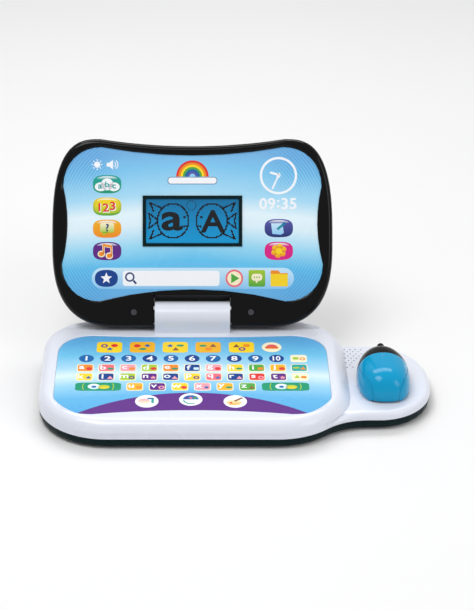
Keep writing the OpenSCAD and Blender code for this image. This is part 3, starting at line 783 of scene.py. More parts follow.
def curve(a: Flat, b: Flat, c: Flat, count: int) -> list[Flat]:
    """Points on a curve from a to c, drawn towards b."""
    out = []
    for i in range(count):
        u = i / (count - 1)
        out.append(tuple(a[k] * (1 - u) ** 2 + b[k] * 2 * u * (1 - u) + c[k] * u * u
                         for k in (0, 1)))
    return out


def ease(t: float) -> float:
    """Smooth step from 0 to 1."""
    t = min(max(t, 0.0), 1.0)
    return t * t * (3 - 2 * t)


def loft_mesh(name: str, rings: Sequence[Sequence[Vector]], closed: bool) -> bpy.types.Mesh:
    """A smooth-shaded closed mesh through a stack of rings with equal point counts.

    Args:
        name: Mesh name.
        rings: Rings of world points in metres.
        closed: True joins the last ring to the first; False caps both ends.

    Returns:
        The mesh, with its faces outwards.
    """
    work = bmesh.new()
    made = [[work.verts.new(p) for p in ring] for ring in rings]
    pairs = list(zip(made, made[1:])) + ([(made[-1], made[0])] if closed else [])
    n = len(rings[0])
    for low, high in pairs:
        for i in range(n):
            work.faces.new((low[i], low[(i + 1) % n], high[(i + 1) % n], high[i]))
    if not closed:
        work.faces.new(list(reversed(made[0])))
        work.faces.new(made[-1])
    bmesh.ops.remove_doubles(work, verts=work.verts, dist=1e-6)
    bmesh.ops.dissolve_degenerate(work, dist=1e-7, edges=work.edges)
    bmesh.ops.recalc_face_normals(work, faces=work.faces)
    mesh = bpy.data.meshes.new(name)
    work.to_mesh(mesh)
    work.free()
    return soften(mesh)


def soften(mesh: bpy.types.Mesh) -> bpy.types.Mesh:
    """Shades a mesh smooth, with creases where faces meet more sharply than CREASE."""
    for polygon in mesh.polygons:
        polygon.use_smooth = True
    mesh.set_sharp_from_angle(angle=math.radians(CREASE))
    return mesh


def carve(mesh: bpy.types.Mesh, cutters: Sequence[bpy.types.Mesh],
          operation: str = "DIFFERENCE", edge: float = 0.0) -> bpy.types.Mesh:
    """Cuts a mesh with others, and may soften its new edges.

    Args:
        mesh: The closed mesh to cut.
        cutters: Closed cutting meshes.
        operation: DIFFERENCE or INTERSECT.
        edge: Width of the softened edge in metres, or 0.

    Returns:
        The cut mesh.
    """
    for cutter in cutters:
        base = bpy.data.objects.new("work", mesh)
        tool = bpy.data.objects.new("tool", cutter)
        for thing in (base, tool):
            bpy.context.scene.collection.objects.link(thing)
        step = base.modifiers.new("cut", "BOOLEAN")
        step.operation = operation
        step.solver = "EXACT"
        step.object = tool
        mesh = evaluated(base)
        bpy.data.objects.remove(tool)
    soften(mesh)
    if edge:
        base = bpy.data.objects.new("work", mesh)
        bpy.context.scene.collection.objects.link(base)
        step = base.modifiers.new("edge", "BEVEL")
        step.width = edge
        step.segments = 2
        step.limit_method = "ANGLE"
        step.angle_limit = math.radians(50)
        step.harden_normals = False
        mesh = soften(evaluated(base))
    return mesh


def prism(outline: Sequence[Flat], low: float, high: float,
          at: Callable[[float, float, float], Vector]) -> bpy.types.Mesh:
    """A straight closed solid over an outline, between two heights."""
    rings = [[at(x, y, z) for x, y in outline] for z in (low, high)]
    return loft_mesh("prism", rings, False)


@dataclass
class BaseCover:
    """The white top shell: walls, shoulder, pocketed deck and mouse platform, in millimetres."""

    rear: Corner = (80, 45, 53.5, 45, 2)
    front: Corner = (72, -30, 61.5, 62, 2)
    film_rear: Corner = (88, 24, 31.5, 31, 2.2)
    film_front: Corner = (85, -44, 34.5, 32.3, 2.2)
    seam: float = 10.0
    platform: float = 17.0
    shoulder: float = 10.0
    wall: float = 2.2
    pocket: float = 1.2
    front_z: float = FRONT_Z
    slope: float = DECK_SLOPE
    hinge_y: float = HINGE[1]
    hinge_z: float = HINGE[2]
    trough_r: float = 11.65
    trough_from: float = 31.0
    trough_to: float = 116.0
    blend_count: int = 18

    def platform_ring(self, inset: float) -> list[Flat]:
        """The platform's outline with its blends into the main body."""
        n = self.blend_count
        start = arc_points(self.front, -48, 0, 2, 0)[0]
        end = arc_points(self.rear, 0, 42, 2, 0)[1]
        return (curve(start, (130 - 0.8 * inset, -60.5 + inset), (152, -60.5 + inset), n)
                + ellipse(160, -6, 48.5 - inset, 54.5 - inset, -90, 0, 20)
                + ellipse(160, 6, 48.5 - inset, 58 - inset, 0, 90, 20)
                + curve((148, 64 - inset), (131.7 - 0.8 * inset, 64 - inset), end, n))

    def wall_ring(self, inset: float) -> list[Flat]:
        """As many points along the main body's wall behind the platform."""
        half, straight = self.blend_count + 8, 24
        low = arc_points(self.front, -48, 0, half, inset)
        high = arc_points(self.rear, 0, 42, half, inset)
        return low + bow(low[-1], high[0], 0, False, straight) + high

    def rest_ring(self, inset: float) -> list[Flat]:
        """The rest of the main body's outline, round its back, left and front."""
        a = arc_points(self.rear, 45, 90, 14, inset)
        b = corner(self.rear, 1, inset)
        c = corner(self.front, 2, inset)
        e = arc_points(self.front, -90, -51, 12, inset)
        return (a + bow(a[-1], b[0], 0, True, 40) + b + bow(b[-1], c[0], 0, False, 24) + c
                + bow(c[-1], e[0], 0, True, 30) + e)

    def deck_z(self, y: float) -> float:
        """Height of the deck."""
        return self.front_z + (y + 70) * math.tan(math.radians(self.slope))

    def share(self, i: int) -> float:
        """How far the platform stands clear of the wall at one of its points, 0 to 1."""
        count = 2 * (self.blend_count + 20)
        near = min(i, count - 1 - i)
        return ease(near / (self.blend_count * 0.9))

    def low_ring(self, inset: float, z_wall: float, z_platform: float,
                 skin: float) -> list[Vector]:
        """One ring of the walls up to the platform's top; skin is the depth under it."""
        out = []
        for i, (x, y) in enumerate(self.platform_ring(inset + skin)):
            s = self.share(i)
            out.append(Vector((x, y, z_wall + (z_platform - skin - z_wall) * s)) * MM)
        return out + [Vector((x, y, z_wall)) * MM for x, y in self.rest_ring(skin)]

    def high_ring(self, turn: float, skin: float) -> list[Vector]:
        """One ring of the shoulder, from the wall at turn 0 to the deck at turn 1."""
        a = math.radians(90 * turn)
        r = self.shoulder
        inset = r * (1 - math.cos(a)) + skin
        swell = -3.6 * (1 - turn) ** 2 + 10.0 * turn ** 1.7 - inset + skin
        climb = ease(turn) * 0.35 + (1 - (1 - turn) ** 2) * 0.65
        out = []
        plain = self.wall_ring(inset)
        fuller = self.wall_ring(inset + swell)
        for i, (p, q) in enumerate(zip(plain, fuller)):
            s = self.share(i)
            x, y = p[0] + (q[0] - p[0]) * s, p[1] + (q[1] - p[1]) * s
            top = self.deck_z(y)
            round_z = top - r * (1 - math.sin(a))
            z = round_z + (self.platform + (top - self.platform) * climb - round_z) * s
            out.append(self.settle(x, y, z - skin))
        for x, y in self.rest_ring(inset):
            z = self.deck_z(y) - r * (1 - math.sin(a)) - skin
            out.append(self.settle(x, y, z))
        return out

    def settle(self, x: float, y: float, z: float) -> Vector:
        """A world point, kept below the trough in which the lid's foot turns."""
        reach = abs(y - self.hinge_y)
        if reach < self.trough_r and self.trough_from < abs(x) < self.trough_to:
            keep = ease((abs(x) - self.trough_from) / 3) * ease((self.trough_to - abs(x)) / 4)
            limit = self.hinge_z - math.sqrt(self.trough_r ** 2 - reach ** 2)
            if z > limit:
                z += (limit - z) * keep
        return Vector((x, y, z)) * MM

    def film_points(self, around: Sequence[Vector], inset: float) -> list[Flat]:
        """Points on the film's outline, seen from the deck's middle towards a ring's points."""
        middle = (0.0, -12.0)
        outline = lobed(self.film_rear, self.film_front, inset, (-2.7, 6.3, 0.0), 40)
        polar = sorted((math.atan2(y - middle[1], x - middle[0]),
                        math.hypot(x - middle[0], y - middle[1])) for x, y in outline)
        polar = ([(polar[-1][0] - 2 * math.pi, polar[-1][1])] + polar
                 + [(polar[0][0] + 2 * math.pi, polar[0][1])])
        out = []
        for p in around:
            t = math.atan2(p.y / MM - middle[1], p.x / MM - middle[0])
            k = next(i for i in range(1, len(polar)) if polar[i][0] >= t)
            (t0, r0), (t1, r1) = polar[k - 1], polar[k]
            r = r0 + (r1 - r0) * (t - t0) / max(t1 - t0, 1e-9)
            out.append((middle[0] + r * math.cos(t), middle[1] + r * math.sin(t)))
        return out

    def speaker_punches(self, material: bpy.types.Material) -> bpy.types.Mesh:
        """Punches for the speaker holes: two staggered rows, then rows that narrow forwards."""
        punches = Perforations("speaker_holes", Plane((0, 0, self.platform), 0, 0), True)
        rows = ((54.6, 132.4, 5), (50.6, 134.9, 4), (46.6, 132.4, 5), (42.6, 134.9, 4),
                (38.4, 132.4, 4), (34.2, 134.9, 3), (30.0, 137.4, 2), (25.8, 135.6, 2),
                (21.6, 138.0, 2))
        for y, x, count in rows:
            for k in range(count):
                punches.add(x + 5.0 * k, y, 1.8, 1.8, Ink.BLACK)
        return punches.grown(material, 1.0)

    def build(self, material: bpy.types.Material) -> None:
        """Makes the shell and lets it stand for the CAD one."""
        edge = ((0, 12.0), (0.2, 13.4), (0.7, 14.6), (1.5, 15.6), (2.6, 16.4), (3.8, 16.85),
                (5.2, 17.0))
        rings = [self.low_ring(0.35, self.seam, self.seam, 0),
                 self.low_ring(0.0, self.seam + 0.4, self.seam + 0.4, 0)]
        for k, (inset, z) in enumerate(edge):
            rings.append(self.low_ring(inset, 11.0 + 0.7 * k, z, 0))
        turns = [k / 14 for k in range(15)]
        rings += [self.high_ring(t, 0) for t in turns]
        inner = rings[-1]
        film = self.film_points(inner, -0.35)
        for k in range(1, 9):
            t = k / 8
            ring = []
            for p, f in zip(inner, film):
                x, y = p.x / MM + (f[0] - p.x / MM) * t, p.y / MM + (f[1] - p.y / MM) * t
                ring.append(self.settle(x, y, self.deck_z(y)))
            rings.append(ring)
        for inset, drop in ((0.0, 0.35), (0.0, self.pocket + 0.02), (4.9, self.pocket + 0.02),
                            (4.9, self.pocket + 1.6)):
            rings.append([Vector((x, y, self.deck_z(y) - drop)) * MM
                          for x, y in self.film_points(inner, inset)])
        for t in reversed(turns[::2]):
            rings.append(self.high_ring(t, self.wall))
        for k in (6, 3, 0):
            inset, z = edge[k]
            rings.append(self.low_ring(inset, 11.0 + 0.7 * k, z, self.wall))
        rings.append(self.low_ring(0.0, self.seam, self.seam + self.wall, self.wall))
        mesh = carve(loft_mesh("base_cover", rings, True), [self.speaker_punches(material)])
        place("base_cover", mesh, "base", material, "white_plastic", ["base_top_shell"])


@dataclass
class LidCovers:
    """The lid's two gloss shells, in millimetres up and out of the lid's frame."""

    face: Plane
    top: Corner = (83.5, 69, 43.5, 91.5, 2.9)
    foot: Corner = (62, 69, 65, 79, 2.8)
    face_top: Corner = (82, 117.5, 34.8, 35.5, 2.1)
    face_foot: Corner = (84, 47, 34, 33.7, 2.1)
    front: float = 9.0
    back: float = 11.3
    seam: float = -1.0
    notch_half: float = 35.05
    notch_r: float = 14.2
    screws: tuple[Flat, ...] = ((53, 3.6), (-53, 3.6))
    back_screws: tuple[Flat, ...] = ((92, 142), (-92, 142))

    def at(self, x: float, v: float, w: float) -> Vector:
        """World place of a point in the lid's own frame."""
        return self.face.at(x, v, w - self.face.level)

    def held(self, x: float, v: float, w: float) -> Vector:
        """World place of a point, kept inside the round foot that turns in the base."""
        reach = math.hypot(v, w)
        k = (self.back - 0.02) / reach if v < 0 and reach > self.back else 1.0
        return self.at(x, v * k, w * k)

    def outline(self, inset: float) -> list[Flat]:
        """The lid's outline."""
        return lobed(self.top, self.foot, inset, (-6.5, 0.0, 0.0), 32)

    def ring(self, inset: float, w: float) -> list[Vector]:
        """One ring round the lid."""
        return [self.held(x, v, w) for x, v in self.outline(inset)]

    def face_outline(self, inset: float) -> list[Flat]:
        """The printed surround's outline."""
        return lobed(self.face_top, self.face_foot, inset, (-7.6, 10.8, -4.4), 32)

    def face_ring(self, inset: float, w: float) -> list[Vector]:
        """One ring round the printed surround."""
        return [self.at(x, v, w) for x, v in self.face_outline(inset)]

    def between(self, t: float, w: float, inset: float) -> list[Vector]:
        """A ring part of the way from the rim to the printed surround."""
        return [self.held(a[0] + (b[0] - a[0]) * t, a[1] + (b[1] - a[1]) * t, w)
                for a, b in zip(self.outline(inset), self.face_outline(-0.1))]

    def notch(self) -> list[bpy.types.Mesh]:
        """Cutters for the space in which the hinge housing stands."""
        def side(s: float, p: float, q: float) -> Vector:
            """World place from a distance along the axis and a point of the notch profile."""
            return self.at(q, s, p)

        half = self.notch_half
        profile = [(-30, -30), (3, -30), (3, -10), (14.2, 0), (19, 8), (19, 30), (-30, 30)]
        rod = [(self.notch_r * math.cos(2 * math.pi * i / 48),
                self.notch_r * math.sin(2 * math.pi * i / 48)) for i in range(48)]
        return [prism(rod, -half, half, side), prism(profile, -half, half, side)]

    def pits(self, places: Sequence[Flat], r: float, low: float,
             high: float) -> list[bpy.types.Mesh]:
        """Round cutters for screw recesses."""
        return [prism(ellipse(x, v, r, r, count=28), low, high, self.at) for x, v in places]

    def build(self, material: bpy.types.Material) -> None:
        """Makes both shells and lets them stand for the CAD ones."""
        rings = [self.ring(0.5, self.seam), self.ring(0.0, self.seam + 0.5),
                 self.ring(0.0, 2.6)]
        r = 5.6
        for k in range(1, 9):
            a = math.radians(90 * k / 8)
            rings.append(self.ring(r * (1 - math.cos(a)) * 0.8,
                                   self.front - 0.1 - r * (1 - math.sin(a))))
        crest = r * 0.8
        for t, w in ((0.12, 8.86), (0.35, 8.6), (0.62, 8.3), (0.86, 7.98), (0.96, 7.8),
                     (1.0, 7.5)):
            rings.append(self.between(t, w, crest))
        rings.append(self.face_ring(-0.1, 2.0))
        front = loft_mesh("lid_rim", rings, False)
        front = carve(front, self.notch() + self.pits(self.screws, 3.7, 4.6, 20.0))
        place("lid_rim", front, "lid", material, "gloss_black", ["lid_front_bezel"])
        rings = [self.ring(0.5, self.seam - 0.06), self.ring(0.0, self.seam - 0.5)]
        r = 8.0
        for k in range(0, 11):
            a = math.radians(90 * k / 10)
            rings.append(self.ring(r * (1 - math.cos(a)), -self.back + r * (1 - math.sin(a))))
        back = loft_mesh("lid_back", list(reversed(rings)), False)
        back = carve(back, self.notch() + self.pits(self.back_screws, 3.1, -20.0, -9.3))
        place("lid_back", back, "lid", material, "gloss_black", ["lid_back_shell"])


@dataclass
class MouseCovers:
    """The mouse's domed cover, side grips and nose, in millimetres."""

    x: float = 167.0
    y: float = -8.0
    foot: float = 17.6
    half_w: float = 23.0
    half_l: float = 36.0
    height: float = 26.0
    travel: float = 1.5
    gap: float = 0.32
    skin: float = 2.0
    split_y: float = 2.0
    nose_half: float = 25.0
    waist_y: float = -41.0

    def at(self, x: float, y: float, z: float) -> Vector:
        """World place of a point measured from the mouse's centre."""
        return Vector((self.x + x, self.y + y, z)) * MM

    def ring(self, inset: float, z: float, count: int = 96) -> list[Vector]:
        """One ring of the dome, square-shouldered in front and rounder behind."""
        out = []
        for i in range(count):
            t = 2 * math.pi * i / count
            c, s = math.cos(t), math.sin(t)
            e = 2 / 2.7 if s < 0 else 2 / 2.2
            out.append(self.at((self.half_w - inset) * math.copysign(abs(c) ** e, c),
                               (self.half_l - inset) * math.copysign(abs(s) ** e, s), z))
        return out

    def skin_rings(self, skin: float) -> list[list[Vector]]:
        """Rings of the dome from its foot up, at a depth under its surface."""
        h = self.height - 5.6 - skin
        rings = [self.ring(skin + 0.9, self.foot), self.ring(skin + 0.2, self.foot + 1.6),
                 self.ring(skin, self.foot + 3.6)]
        for k in range(1, 19):
            a = math.radians(87 * k / 18)
            rings.append(self.ring(skin + (self.half_w - skin) * (1 - math.cos(a) ** 0.8),
                                   self.foot + 5 + h * math.sin(a) ** 0.9))
        return rings

    def dome(self) -> bpy.types.Mesh:
        """The whole hollow dome."""
        work = bmesh.new()
        rings = list(reversed(self.skin_rings(0.0))) + self.skin_rings(self.skin)
        chain = [[work.verts.new(p) for p in ring] for ring in rings]
        n = len(chain[0])
        for low, high in zip(chain, chain[1:]):
            for i in range(n):
                work.faces.new((low[i], low[(i + 1) % n], high[(i + 1) % n], high[i]))
        work.faces.new(chain[0])
        work.faces.new(list(reversed(chain[-1])))
        bmesh.ops.recalc_face_normals(work, faces=work.faces)
        mesh = bpy.data.meshes.new("mouse_dome")
        work.to_mesh(mesh)
        work.free()
        return soften(mesh)

    def side_line(self, y: float, gap: float) -> float:
        """Half width of the middle cover at a place along the mouse."""
        y = max(y, self.waist_y)
        return (21.8 + gap) * math.sqrt(max(0.0, 1 - ((y - 14) / (56 + gap)) ** 2))

    def back_line(self, x: float, gap: float) -> float:
        """Back edge of the blue covers at a place across the mouse."""
        return -8 + (17.2 - gap) * math.sqrt(max(0.0, 1 - (x / (32.6 - gap)) ** 2))

    def build(self, blue: bpy.types.Material, black: bpy.types.Material) -> None:
        """Makes the four pieces and lets them stand for the CAD ones."""
        dome, half, split = self.dome(), self.nose_half, self.split_y
        steps = 24
        rise = [-50 + 52 * k / steps for k in range(steps + 1)]
        arc = [half - 2 * half * k / 40 for k in range(41)]
        back = [(x, self.back_line(x, 0.0)) for x in arc]
        cover = ([(self.side_line(y, -0.15), y) for y in rise] + [(half, split)] + back
                 + [(-half, split)] + [(-self.side_line(y, -0.15), y) for y in reversed(rise)])
        self.part("mouse_cover_shell", dome, cover, self.foot + self.travel, "mouse_cover",
                  blue, "mouse_blue", "mouse_click_cover")
        top = split - 0.3
        for name, sign, node in (("mouse_grip_left", -1, "mouse_left_grip"),
                                 ("mouse_grip_right", 1, "mouse_right_grip")):
            edge = [(sign * self.side_line(y, 0.17), y) for y in rise[:-1] + [top]]
            outline = edge + [(sign * 40, top), (sign * 40, -50)]
            self.part(name, dome, outline, 0, "mouse", blue, "mouse_blue", node)
        nose = ([(x, self.back_line(x, -self.gap)) for x in arc]
                + [(-40, 3), (-40, 60), (40, 60), (40, 3)])
        self.part("mouse_nose", dome, nose, 0, "mouse", black, "gloss_black",
                  "mouse_nose_trim")

    def part(self, name: str, dome: bpy.types.Mesh, outline: Sequence[Flat], low: float,
             body: str, material: bpy.types.Material, slot: str, node: str) -> None:
        """Cuts one piece out of the dome and lets it stand for its CAD node.

        Args:
            name: Piece name.
            dome: The whole dome.
            outline: The piece's outline from above.
            low: Height of its lower edge.
            body: CAD body it moves with.
            material: Its finish.
            slot: Material slot of the record.
            node: The CAD node.
        """
        piece = carve(dome.copy(), [prism(outline, low, 60, self.at)], "INTERSECT", 0.35 * MM)
        place(name, piece, body, material, slot, [node])


# ---------------------------------------------------------------- lid


@dataclass
class Lid:
    """The open lid: black shells, printed surround and screen. Sizes in millimetres."""

    finishes: Finishes
    hinge: tuple[float, float, float] = HINGE
    lean: float = 27.0
    screen_v: float = 86.2
    pill_w: float = 25.7
    pill_h: float = 16.5

    def __post_init__(self) -> None:
        """Finds the printed face's level from the CAD surround."""
        tilt = 90 - self.lean
        self.face = Plane(self.hinge, tilt, face_level("screen_faceplate", self.hinge, tilt))

    def dress(self) -> None:
        """Finishes the screen, the surround and the inner pieces."""
        f = self.finishes
        dress((
            (f.dark_steel, "lid_screws"),
            (f.shell_teal, "lcd_frame"),
            (f.lcd, "lcd_glass"),
            (self.window(), "lcd_window"),
            (f.bare_plastic, "lcd_light_guide lcd_zebra_strips"),
            (f.board, "lcd_driver_board"),
            (f.film, "backlight_led"),
            (f.rubber, "lid_cable"),
        ))
        surround = PrintedFilm(
            "surround_print", Vector(self.hinge) * MM, math.radians(90 - self.lean),
            0.013, 0.153, ((0.0, "74B0E2"), (0.15, "69B8EB"), (0.28, "68C5F1"),
                           (0.40, "9FDCF6"), (0.53, "DFF3FD"), (0.61, "E6F7FE"),
                           (0.72, "AADDF7"), (0.89, "82C8F0"), (1.0, "79B5E6")),
            corner_lines=0.6).make()
        dress([(surround, "screen_faceplate")])

    def window(self) -> bpy.types.Material:
        """Clear smoked window with a faint blue cast."""
        tree = NodeTree("lcd_window_clear")
        shader = tree.shader
        shader.inputs["Base Color"].default_value = (*tint("7FD4EE"), 1)
        shader.inputs["Alpha"].default_value = 0.05
        shader.inputs["Coat Weight"].default_value = 0.1
        tree.join(tree.spread(tree.noise(60.0, 2.0), 0.04, 0.08), shader.inputs["Roughness"])
        return tree.material

    def build(self) -> None:
        """Prints the surround and draws the screen picture."""
        LidCovers(self.face).build(self.finishes.lid_black)
        self.taskbar()
        self.pills()
        self.clock()
        self.rainbow()
        self.screen()

    def taskbar(self) -> None:
        """The pale bar with its round and square icons."""
        p = Print("taskbar_print", self.face)
        p.shape(rounded(0.4, 34.2, 182.8, 19.1, 9.4, 8), Ink.SKY, Ink.PALE)
        p.up()
        p.shape(ellipse(-77.8, 34.2, 10.4, 7.7, count=40, power=2.4), Ink.NAVY)
        p.shape(rounded(-19.2, 34.2, 87.5, 13.8, 2.6), Ink.WHITE)
        p.shape(ellipse(37.9, 34.2, 8.0, 8.0), Ink.ROSE)
        p.shape(rounded(58.3, 34.2, 15, 15, 1.6), Ink.LEAF, Ink.LIME)
        p.shape([(70.7, 27), (86.3, 27), (86.3, 39), (79.5, 39), (77.6, 41.4), (70.7, 41.4)],
                Ink.GOLD, Ink.ORANGE)
        p.up()
        p.shape(star(-77.8, 34.2, 5.4, 2.3, 5), Ink.WHITE)
        p.shape(ellipse(37.9, 34.2, 6.3, 6.3), Ink.CREAM)
        p.shape(band(-56.6, 35.4, 2.9, 4.3, 0, 359.9, 28), Ink.DEEP)
        p.shape(stroke((-53.4, 32.3), (-50.8, 29.3), 1.7), Ink.DEEP)
        p.shape(rounded(58.3, 35.2, 9.8, 6.4, 2.8), Ink.CREAM)
        p.shape([(56.8, 32.6), (60.4, 32.6), (57.6, 29.6)], Ink.CREAM)
        p.shape(rounded(78.5, 32.6, 15.6, 11.2, 0.9), Ink.YELLOW)
        p.up()
        p.shape([(35.1, 38.6), (35.1, 29.8), (42.4, 34.2)], Ink.LEAF)
        for x in (56.0, 58.3, 60.6):
            p.shape(ellipse(x, 35.2, 0.65, 0.65, count=10), Ink.LEAF)
        p.finish("lid", self.finishes.ink, "printed_faceplate")

    def pill(self, p: Print, x: float, y: float, foot: Ink, head: Ink) -> None:
        """One glossy oval push symbol with a highlight."""
        w, h = self.pill_w, self.pill_h
        p.layer = 0
        p.shape(ellipse(x, y, w / 2, h / 2, count=44, power=2.9), foot, head)
        p.up()
        p.shape(ellipse(x, y + 3.9, w * 0.37, h * 0.2, 8, 172, 20, power=2.4), head, Ink.WHITE)
        p.up()

    def pills(self) -> None:
        """The six oval symbols at the sides of the screen."""
        p = Print("symbol_print", self.face)
        left, right = -77.1, 78.1
        self.pill(p, left, 119.3, Ink.GREEN, Ink.TEAL)
        p.shape(ellipse(left - 5.8, 117.0, 5.4, 4.0, count=20), Ink.WHITE)
        p.shape(ellipse(left, 119.2, 5.6, 5.4, count=20), Ink.WHITE)
        p.shape(ellipse(left + 6.0, 117.0, 5.4, 4.0, count=20), Ink.WHITE)
        p.up()
        p.legend("a", left - 6.4, 117.2, 5.2, Ink.TEAL, 1.15)
        p.legend("b", left, 119.2, 5.0, Ink.TEAL, 1.15)
        p.legend("c", left + 6.4, 117.2, 5.2, Ink.TEAL, 1.15)
        self.pill(p, left, 99.1, Ink.LEAF, Ink.YELLOW)
        p.shape(ellipse(left, 99.1, 11.2, 6.3, count=36, power=2.9), Ink.LIME, Ink.YELLOW)
        p.up()
        for word, x, y in (("1", -7.0, 98.6), ("2", -1.2, 98.2), ("3", 5.0, 99.6)):
            p.legend(word, left + x + 0.5, y - 0.5, 7.6, Ink.WHITE, 1.2)
        p.up()
        for word, x, y in (("1", -7.0, 98.6), ("2", -1.2, 98.2), ("3", 5.0, 99.6)):
            p.legend(word, left + x, y, 7.2, Ink.RED, 1.15)
        self.pill(p, left, 79.1, Ink.ORANGE, Ink.GOLD)
        p.shape(rounded(left, 79.9, 12.6, 9.0, 2.0), Ink.LIME, Ink.CREAM)
        p.shape([(left - 4, 76.2), (left + 1.5, 76.2), (left - 3.6, 72.8)], Ink.LIME)
        p.up()
        p.legend("?", left + 0.2, 80.1, 6.6, Ink.DEEP, 1.1)
        self.pill(p, left, 58.8, Ink.PURPLE, Ink.PURPLE)
        for grow, ink in ((1.0, Ink.CREAM), (0.0, Ink.ORANGE)):
            for x, y in ((-5.2, 56.2), (2.0, 54.6)):
                p.shape(ellipse(left + x, y, 2.4 + grow, 2.0 + grow, count=20), ink)
                p.shape(stroke((left + x + 1.9, y), (left + x + 1.9, y + 8.4), 1.0 + grow), ink)
            p.up()
            p.shape(stroke((left - 3.7, 64.4), (left + 4.3, 62.8), 2.0 + grow), ink)
            p.up()
        self.pill(p, right, 79.6, Ink.DEEP, Ink.VIOLET)
        p.shape([(right - 7, 84), (right + 3.2, 84), (right + 4.6, 75.2), (right + 1.6, 73.6),
                 (right - 5.8, 74.4)], Ink.SKY, Ink.PALE)
        p.up()
        p.shape(stroke((right - 1.4, 78.4), (right + 6.0, 84.6), 2.2), Ink.TEAL, Ink.BLUE)
        self.pill(p, right, 59.0, Ink.MAGENTA, Ink.MAGENTA)
        for i in range(6):
            a = math.radians(60 * i + 20)
            p.shape(ellipse(right + 4.4 * math.cos(a), 59 + 4.0 * math.sin(a), 2.7, 2.5,
                            count=16), Ink.ORANGE, Ink.YELLOW)
        p.up()
        p.shape(ellipse(right, 59, 3.0, 2.8, count=20), Ink.YELLOW)
        p.finish("lid", self.finishes.ink, "printed_faceplate")

    def clock(self) -> None:
        """White clock ring with two hands, its figures, and the two status icons."""
        p = Print("clock_print", self.face)
        cx, cy = 77.8, 127.1
        p.shape(band(cx, cy, 14.8, 16.9, 0, 359.9, 56), Ink.WHITE)
        p.shape(stroke((cx + 1.2, cy + 2.4), (cx - 5.6, cy - 12.0), 1.5), Ink.WHITE)
        p.up()
        p.shape(stroke((cx + 1.6, cy + 0.4), (cx - 7.6, cy + 2.8), 2.0), Ink.WHITE)
        p.shape(ellipse(cx, cy, 1.9, 1.9, count=16), Ink.WHITE)
        for word, x in (("0", -13.6), ("9", -6.0), (":", 0.0), ("3", 5.8), ("5", 13.4)):
            p.legend(word, cx + x - 0.2, 101.7, 9.8, Ink.WHITE, 1.05)
        sx, sy = -86.1, 137.0
        p.shape(ellipse(sx, sy, 2.8, 2.8, count=20), Ink.WHITE)
        for i in range(8):
            a = math.radians(45 * i)
            p.shape(stroke((sx + 3.6 * math.cos(a), sy + 3.6 * math.sin(a)),
                           (sx + 4.8 * math.cos(a), sy + 4.8 * math.sin(a)), 0.9), Ink.WHITE)
        vx, vy = -73.6, 137.0
        p.shape([(vx - 4, vy - 1.7), (vx - 1.6, vy - 1.7), (vx + 1.9, vy - 4.4),
                 (vx + 1.9, vy + 4.4), (vx - 1.6, vy + 1.7), (vx - 4, vy + 1.7)], Ink.WHITE)
        p.shape(band(vx + 1.4, vy, 2.4, 3.2, -50, 50, 10), Ink.WHITE)
        p.shape(band(vx + 1.4, vy, 4.4, 5.2, -50, 50, 12), Ink.WHITE)
        p.finish("lid", self.finishes.ink, "printed_faceplate")

    def rainbow(self) -> None:
        """The rainbow over its blank name plate."""
        p = Print("rainbow_print", self.face)
        colours = (Ink.RED, Ink.ORANGE, Ink.YELLOW, Ink.LEAF, Ink.BLUE, Ink.VIOLET)
        for i, ink in enumerate(colours):
            outer = 14.7 - i * 2.0
            p.shape(band(0, 126.2, outer - 2.0, outer, 0, 180, 30), ink)
        p.up()
        p.shape(rounded(0, 122.6, 44.8, 6.6, 3.0, 8), Ink.DEEP)
        p.up()
        p.shape(rounded(0, 122.6, 43.8, 5.6, 2.6, 8), Ink.WHITE)
        p.finish("lid", self.finishes.ink, "printed_faceplate")

    def screen(self) -> None:
        """Stepped line picture on the screen: two round fish, each with a letter."""
        tilt = 90 - self.lean
        top = face_level("lcd_window", self.hinge, tilt)
        p = Print("screen_picture", Plane(self.hinge, tilt, top))
        # The screen's own blue at its foot, darkened towards its top by painted shade from the
        # frame.
        p.shape(rounded(0, self.screen_v, 84.0, 40.4, 1.2), Ink.GLOW, Ink.SCREEN_PAINTED_SHADE)
        p.up()
        cell, dot = 0.95, 0.6
        cy = self.screen_v
        for side in (-1, 1):
            cells = set()
            cx = side * 17.6
            for i in range(260):
                t = 2 * math.pi * i / 260
                cells.add((round((cx + 14.0 * math.cos(t)) / cell),
                           round((15.6 * math.sin(t)) / cell)))
            for sy in (-1, 1):
                self.dots(cells, cell, (cx + side * 10, sy * 11.5), (cx + side * 21, sy * 16.5))
                self.dots(cells, cell, (cx + side * 21, sy * 16.5), (cx + side * 17.4, sy * 8.5))
                self.dots(cells, cell, (cx + side * 14.2, sy * 1.2), (cx + side * 22, sy * 7))
                self.dots(cells, cell, (cx + side * 22, sy * 7), (cx + side * 20.5, 0))
            self.dots(cells, cell, (cx - side * 13, -4.6), (cx - side * 9.6, -5.4))
            cells |= {(round((cx - side * 9.8) / cell) + a, 3 + b)
                      for a in (0, 1) for b in (0, 1)}
            for ix, iy in sorted(cells):
                if abs(ix * cell) < 41 and abs(iy * cell) < 19:
                    p.shape([(ix * cell - dot, cy + iy * cell - dot),
                             (ix * cell + dot, cy + iy * cell - dot),
                             (ix * cell + dot, cy + iy * cell + dot),
                             (ix * cell - dot, cy + iy * cell + dot)], Ink.BLACK)
        for i in range(14):
            t = 2 * math.pi * i / 14
            p.shape(rounded(-1 + 4.2 * math.cos(t), cy + 14 + 4.2 * math.sin(t), 0.9, 0.9, 0.1,
                            2), Ink.BLACK)
        p.legend("a", -18.4, cy - 0.4, 23.5, Ink.BLACK, 1.35)
        p.legend("A", 18.6, cy - 0.4, 19.5, Ink.BLACK, 1.1)
        p.finish("lid", self.finishes.ink, "lcd_blue")

    @staticmethod
    def dots(cells: set[tuple[int, int]], cell: float, a: Flat, b: Flat) -> None:
        """Adds the cells on a straight run from a to b."""
        n = 40
        for i in range(n + 1):
            cells.add((round((a[0] + (b[0] - a[0]) * i / n) / cell),
                       round((a[1] + (b[1] - a[1]) * i / n) / cell)))


